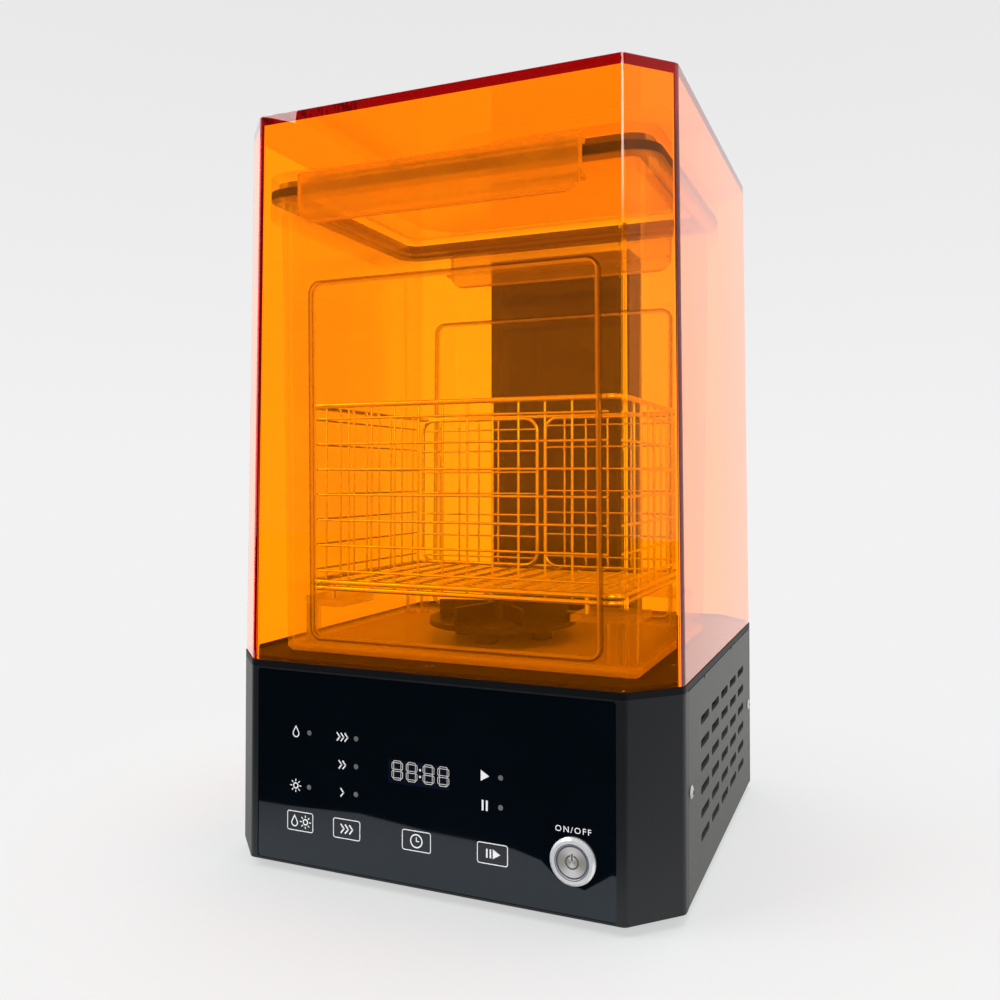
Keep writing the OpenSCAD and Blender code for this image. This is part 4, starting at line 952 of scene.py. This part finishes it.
class STATION_OT_basket(bpy.types.Operator):
    """Finishes the basket's wires and adds their welds"""
    bl_idname = "station.basket"
    bl_label = "Wire basket"

    def execute(self, context):
        wires = [name for name in NODES if name.startswith("basket_") and name != "basket_shelves"]
        steel = metal("electropolished_wire", "#c9c8c5", "#e2e1de", 0.16, 1.5)
        dress(sorted(wires), steel)
        self.add_welds(steel)
        return {"FINISHED"}

    def add_welds(self, steel):
        """Adds weld spots where two wires cross."""
        tree = weld_tree(steel)
        spots = bmesh.new()
        upright = math.pi / 2

        def grid(counts, pitches, turn, middle):
            """Lays a grid of spots, given the counts and the pitches across and along it."""
            width, length = [(count - 1) * pitch for count, pitch in zip(counts, pitches)]
            grow(tree, {"Spots across": counts[0], "Spots along": counts[1], "Width": width,
                        "Length": length, "Turn": turn, "Middle": middle,
                        "Spot radius": settings().weld_radius}, spots)

        # Centre lines of the thick wires and heights of the mesh's lying wires
        half_x = (BASKET_HIGH.x - BASKET_LOW.x) / 2 - THICK_R
        half_y = (BASKET_HIGH.y - BASKET_LOW.y) / 2 - THICK_R
        middle_y = (BASKET_HIGH.y + BASKET_LOW.y) / 2
        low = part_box("basket_front")[0].z
        high = (BASKET_LOW.z + BASKET_HIGH.z) / 2
        second = low + 2 * THICK_R + BASE_WIRE_GAP
        pitch = (high - second) / (RING_COUNT - 1 + ROOM_OVER + ROOM_UNDER)
        mesh_middle = second + ROOM_UNDER * pitch + (RING_COUNT - 1) * pitch / 2
        frame_middle = (low + high) / 2

        # How far behind a wall's thick wires the spots lie: between two thin wires, on a thick one
        crossing = THIN_R - WELD_SINK / 2
        thin_in = THICK_R + THIN_R - crossing
        walls = [(half_x, (0, -1)), (half_y, (-1, 0)), (half_y, (1, 0))]
        for half, (sx, sy) in walls:
            count = 2 * int((half - MESH_MARGIN) / MESH_PITCH + 0.5)
            turn = (upright, 0, upright if sx else 0)
            for rows, row_pitch, inward, z in ((RING_COUNT, pitch, thin_in, mesh_middle),
                                               (2, high - low, THICK_R, frame_middle)):
                grid((count, rows), (MESH_PITCH, row_pitch), turn,
                     (sx * (half_x - inward), middle_y + sy * (half_y - inward), z))
        for name in ("basket_rear_left", "basket_rear_right"):
            frame_low, frame_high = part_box(name)
            count = 2 * int(((frame_high.x - frame_low.x) / 2 - THICK_R) / MESH_PITCH - 0.5) + 1
            grid((count, RING_COUNT), (MESH_PITCH, pitch), (upright, 0, 0),
                 ((frame_low.x + frame_high.x) / 2, frame_high.y - THICK_R - crossing, mesh_middle))
        floor_low, floor_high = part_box("basket_floor")
        across, along = [2 * int(reach / 2 / step - 0.5) + 1 for reach, step in (
            (floor_high.x - floor_low.x, MESH_PITCH), (floor_high.y - floor_low.y, FLOOR_PITCH))]
        grid((across, along), (MESH_PITCH, FLOOR_PITCH), (0, 0, 0),
             (0, middle_y, (floor_low.z + floor_high.z) / 2))
        piece = finish_mesh("basket_welds", spots, steel, "wire_basket", smooth=True)


class STATION_OT_lid(bpy.types.Operator):
    """Finishes the lid, its gasket, its lock flaps and their pins"""
    bl_idname = "station.lid"
    bl_label = "Lid"

    def execute(self, context):
        dress(["lid"],
              translucent_plastic("frosted_lid_plastic", "#fefdfa", "#d8d4c8", 0.035, 0.3, 0.25))
        dress(["gasket"], two_shot_gasket())
        for name in ("front_flap", "rear_flap"):
            # Each flap's bright outline is a painted highlight, laid in as extra milk
            dress([name], translucent_plastic(
                name + "_frosted_plastic", "#fdfcf8", "#e4e2da", 0.35, 0.5, 0.2,
                frost_and_highlight=lambda tree, flap=name: flap_edge_highlight(tree, flap)))
        dress(["front_flap_pin", "rear_flap_pin"],
              metal("hinge_pin_steel", "#a5a5a3", "#bdbdbb", 0.2, 0.5))
        return {"FINISHED"}


class STATION_OT_stage(bpy.types.Operator):
    """Lays the pale floor and sets the soft lights and the camera"""
    bl_idname = "station.stage"
    bl_label = "Stage"

    def execute(self, context):
        self.lay_floor()
        self.set_flag()
        self.set_strip()
        self.set_world()
        for name, values in LIGHTS.items():
            self.add_light(name, *values)
        self.set_camera()
        return {"FINISHED"}

    def lay_floor(self):
        builder = bmesh.new()
        bmesh.ops.create_circle(builder, cap_ends=True, radius=FLOOR_RADIUS, segments=96)
        mesh = bpy.data.meshes.new("studio_floor")
        builder.to_mesh(mesh)
        builder.free()
        mesh.materials.append(seamless_paper())
        floor = add_object("studio_floor", mesh)

    def set_card(self, name, points, material):
        """Stage card with these corners that only reflections see."""
        mesh = bpy.data.meshes.new(name)
        mesh.from_pydata(points, [], [list(range(len(points)))])
        mesh.materials.append(material)
        card = add_object(name, mesh)
        card.visible_camera = False
        card.visible_diffuse = False
        card.visible_shadow = False
        card.visible_transmission = False

    def set_flag(self):
        """Black card on the floor in front, whose reflection darkens most of the glossy panel."""
        near = [(x * MM, y * MM) for x, y in FLAG_EDGE]
        edge = [(-FLAG_SIDE, near[0][1])] + near + [(FLAG_SIDE, near[-1][1])]
        outline = [(-FLAG_SIDE, FLAG_FAR), (FLAG_SIDE, FLAG_FAR)] + edge[::-1]
        self.set_card("front_flag", [(x, y, FLAG_LIFT) for x, y in outline], black_flag())

    def set_strip(self):
        """Tall narrow light card, reflected as the bright line on the hood's front right bend."""
        ahead = Vector((math.cos(STRIP_TOWARD), math.sin(STRIP_TOWARD), 0))
        across = Vector((-ahead.y, ahead.x, 0)) * STRIP_HALF_WIDTH
        middle = Vector((*STRIP_BEND, 0)) + ahead * STRIP_DISTANCE
        low, high = [Vector((0, 0, z)) for z in (STRIP_LOW, STRIP_HIGH)]
        self.set_card("strip_card", [middle - across + low, middle + across + low,
                                     middle + across + high, middle - across + high], light_card())

    def set_world(self):
        """Bright behind and beside the machine, dark behind the camera, a plain pale grey to the camera."""
        world = bpy.data.worlds.new("studio")
        bpy.context.scene.world = world
        world.use_nodes = True
        tree = world.node_tree
        tree.nodes.clear()
        output = add_node(tree, "ShaderNodeOutputWorld")
        direction = add_node(tree, "ShaderNodeTexCoord").outputs["Generated"]
        parts = add_node(tree, "ShaderNodeSeparateXYZ", {0: direction}).outputs
        room = remap(tree, parts["Y"], settings().room_front, settings().room_back, *ROOM_TURN,
                     interpolation="SMOOTHSTEP")
        seen = remap(tree, parts["Z"], BACKDROP_LOW, BACKDROP_HIGH, 0.0, BACKDROP_RISE)
        ray = add_node(tree, "ShaderNodeLightPath").outputs
        through = add_node(tree, "ShaderNodeMix", {
            "Factor": ray["Is Transmission Ray"], "A": room, "B": settings().room_through})
        strength = add_node(tree, "ShaderNodeMix", {
            "Factor": ray["Is Camera Ray"], "A": through.outputs["Result"], "B": seen})
        glow = shader(tree, "Background", {
            "Color": (1, 1, 1, 1), "Strength": strength.outputs["Result"]})
        tree.links.new(glow, output.inputs["Surface"])

    def add_light(self, name, stand, target_z, side, power, mirrored):
        """Adds a square soft light that faces a point on the machine's axis."""
        lamp = bpy.data.lights.new(name, "AREA")
        lamp.size = side
        lamp.energy = getattr(settings(), power)
        holder = add_object(name, lamp)
        holder.location = stand
        aim = Vector((0, 0, target_z)) - Vector(stand)
        holder.rotation_euler = aim.to_track_quat("-Z", "Y").to_euler()
        holder.visible_glossy = mirrored

    def set_camera(self):
        """Camera at the photograph's angle."""
        data = bpy.data.cameras.new("photo_camera")
        data.sensor_width = 36.0
        data.lens = CAMERA_LENS_MM
        data.shift_x, data.shift_y = CAMERA_SHIFT
        camera = add_object("photo_camera", data)
        camera.location = CAMERA_PLACE
        camera.rotation_euler = (math.pi / 2 + CAMERA_TILT, 0, CAMERA_TURN)
        bpy.context.scene.camera = camera


class StationSettings(bpy.types.PropertyGroup):
    """Colours, sizes and light levels that a user may change"""
    hood_colour: bpy.props.FloatVectorProperty(
        name="Hood colour", description="Colour that the hood's acrylic lets through", subtype="COLOR",
        default=(0.992, 0.80, 0.10), min=0.0, max=1.0)
    hood_density: bpy.props.FloatProperty(
        name="Hood depth of colour", description="How strongly the acrylic colours light on its way",
        default=1100.0, min=0.0)
    shell_colour: bpy.props.FloatVectorProperty(
        name="Base colour", description="Powder coat of the base's shells", subtype="COLOR",
        default=linear("#15171a")[:3], min=0.0, max=1.0)
    side_colour: bpy.props.FloatVectorProperty(
        name="Side panel colour", description="Powder coat of the two side panels", subtype="COLOR",
        default=linear("#42423d")[:3], min=0.0, max=1.0)
    panel_colour: bpy.props.FloatVectorProperty(
        name="Touch panel colour", description="Print under the glossy front", subtype="COLOR",
        default=linear("#050b11")[:3], min=0.0, max=1.0)
    symbol_size: bpy.props.FloatProperty(
        name="Symbol size", description="Height of the symbols beside the lights", default=6.4 * MM,
        min=2 * MM, max=8 * MM, unit="LENGTH")
    rib_line: bpy.props.FloatProperty(
        name="Outline width", description="Width of the bucket's raised outline", default=1.5 * MM,
        min=0.5 * MM, max=4 * MM, unit="LENGTH")
    weld_radius: bpy.props.FloatProperty(
        name="Weld spot radius", description="Radius of the weld spots on the basket", default=0.95 * MM,
        min=0.7 * MM, max=1.2 * MM, unit="LENGTH")
    key_power: bpy.props.FloatProperty(
        name="Key light", description="Power of the soft light at the front left", default=12.0,
        unit="POWER")
    top_power: bpy.props.FloatProperty(
        name="Top light", description="Power of the soft light overhead", default=9.0, unit="POWER")
    fill_power: bpy.props.FloatProperty(
        name="Front fill", description="Power of the soft light at the front right", default=10.0,
        unit="POWER")
    room_back: bpy.props.FloatProperty(
        name="Room behind", description="Brightness of the room behind the machine", default=1.15)
    room_front: bpy.props.FloatProperty(
        name="Room in front", description="Brightness of the room behind the camera", default=0.06)
    room_through: bpy.props.FloatProperty(
        name="Room through the hood", description="Brightness of the room as the hood passes it on",
        default=1.72)


OPERATORS = (
    STATION_OT_hood, STATION_OT_base, STATION_OT_panel, STATION_OT_button, STATION_OT_inside,
    STATION_OT_lamp, STATION_OT_bucket, STATION_OT_stirrer, STATION_OT_basket, STATION_OT_lid,
    STATION_OT_stage)


class STATION_PT_sidebar(bpy.types.Panel):
    """Lists the station's settings and operators"""
    bl_idname = "STATION_PT_sidebar"
    bl_label = "Wash and cure station"
    bl_space_type = "VIEW_3D"
    bl_region_type = "UI"
    bl_category = "Station"

    def draw(self, context):
        for name in StationSettings.__annotations__:
            self.layout.prop(context.scene.station, name)
        for operator in OPERATORS:
            self.layout.operator(operator.bl_idname)


CLASSES = (StationSettings, *OPERATORS, STATION_PT_sidebar)


def register():
    for cls in CLASSES:
        bpy.utils.register_class(cls)
    bpy.types.Scene.station = bpy.props.PointerProperty(type=StationSettings)


def unregister():
    del bpy.types.Scene.station
    for cls in reversed(CLASSES):
        bpy.utils.unregister_class(cls)


def main():
    register()
    for operator in OPERATORS:
        group, name = operator.bl_idname.split(".")
        getattr(getattr(bpy.ops, group), name)()
    bpy.context.scene.view_settings.view_transform = "Standard"
    cycles = bpy.context.scene.cycles
    cycles.max_bounces = HOOD_BOUNCES
    cycles.transmission_bounces = HOOD_BOUNCES
    cycles.glossy_bounces = HOOD_BOUNCES
    cycles.transparent_max_bounces = CLEAR_BOUNCES


if __name__ == "__main__":
    main()
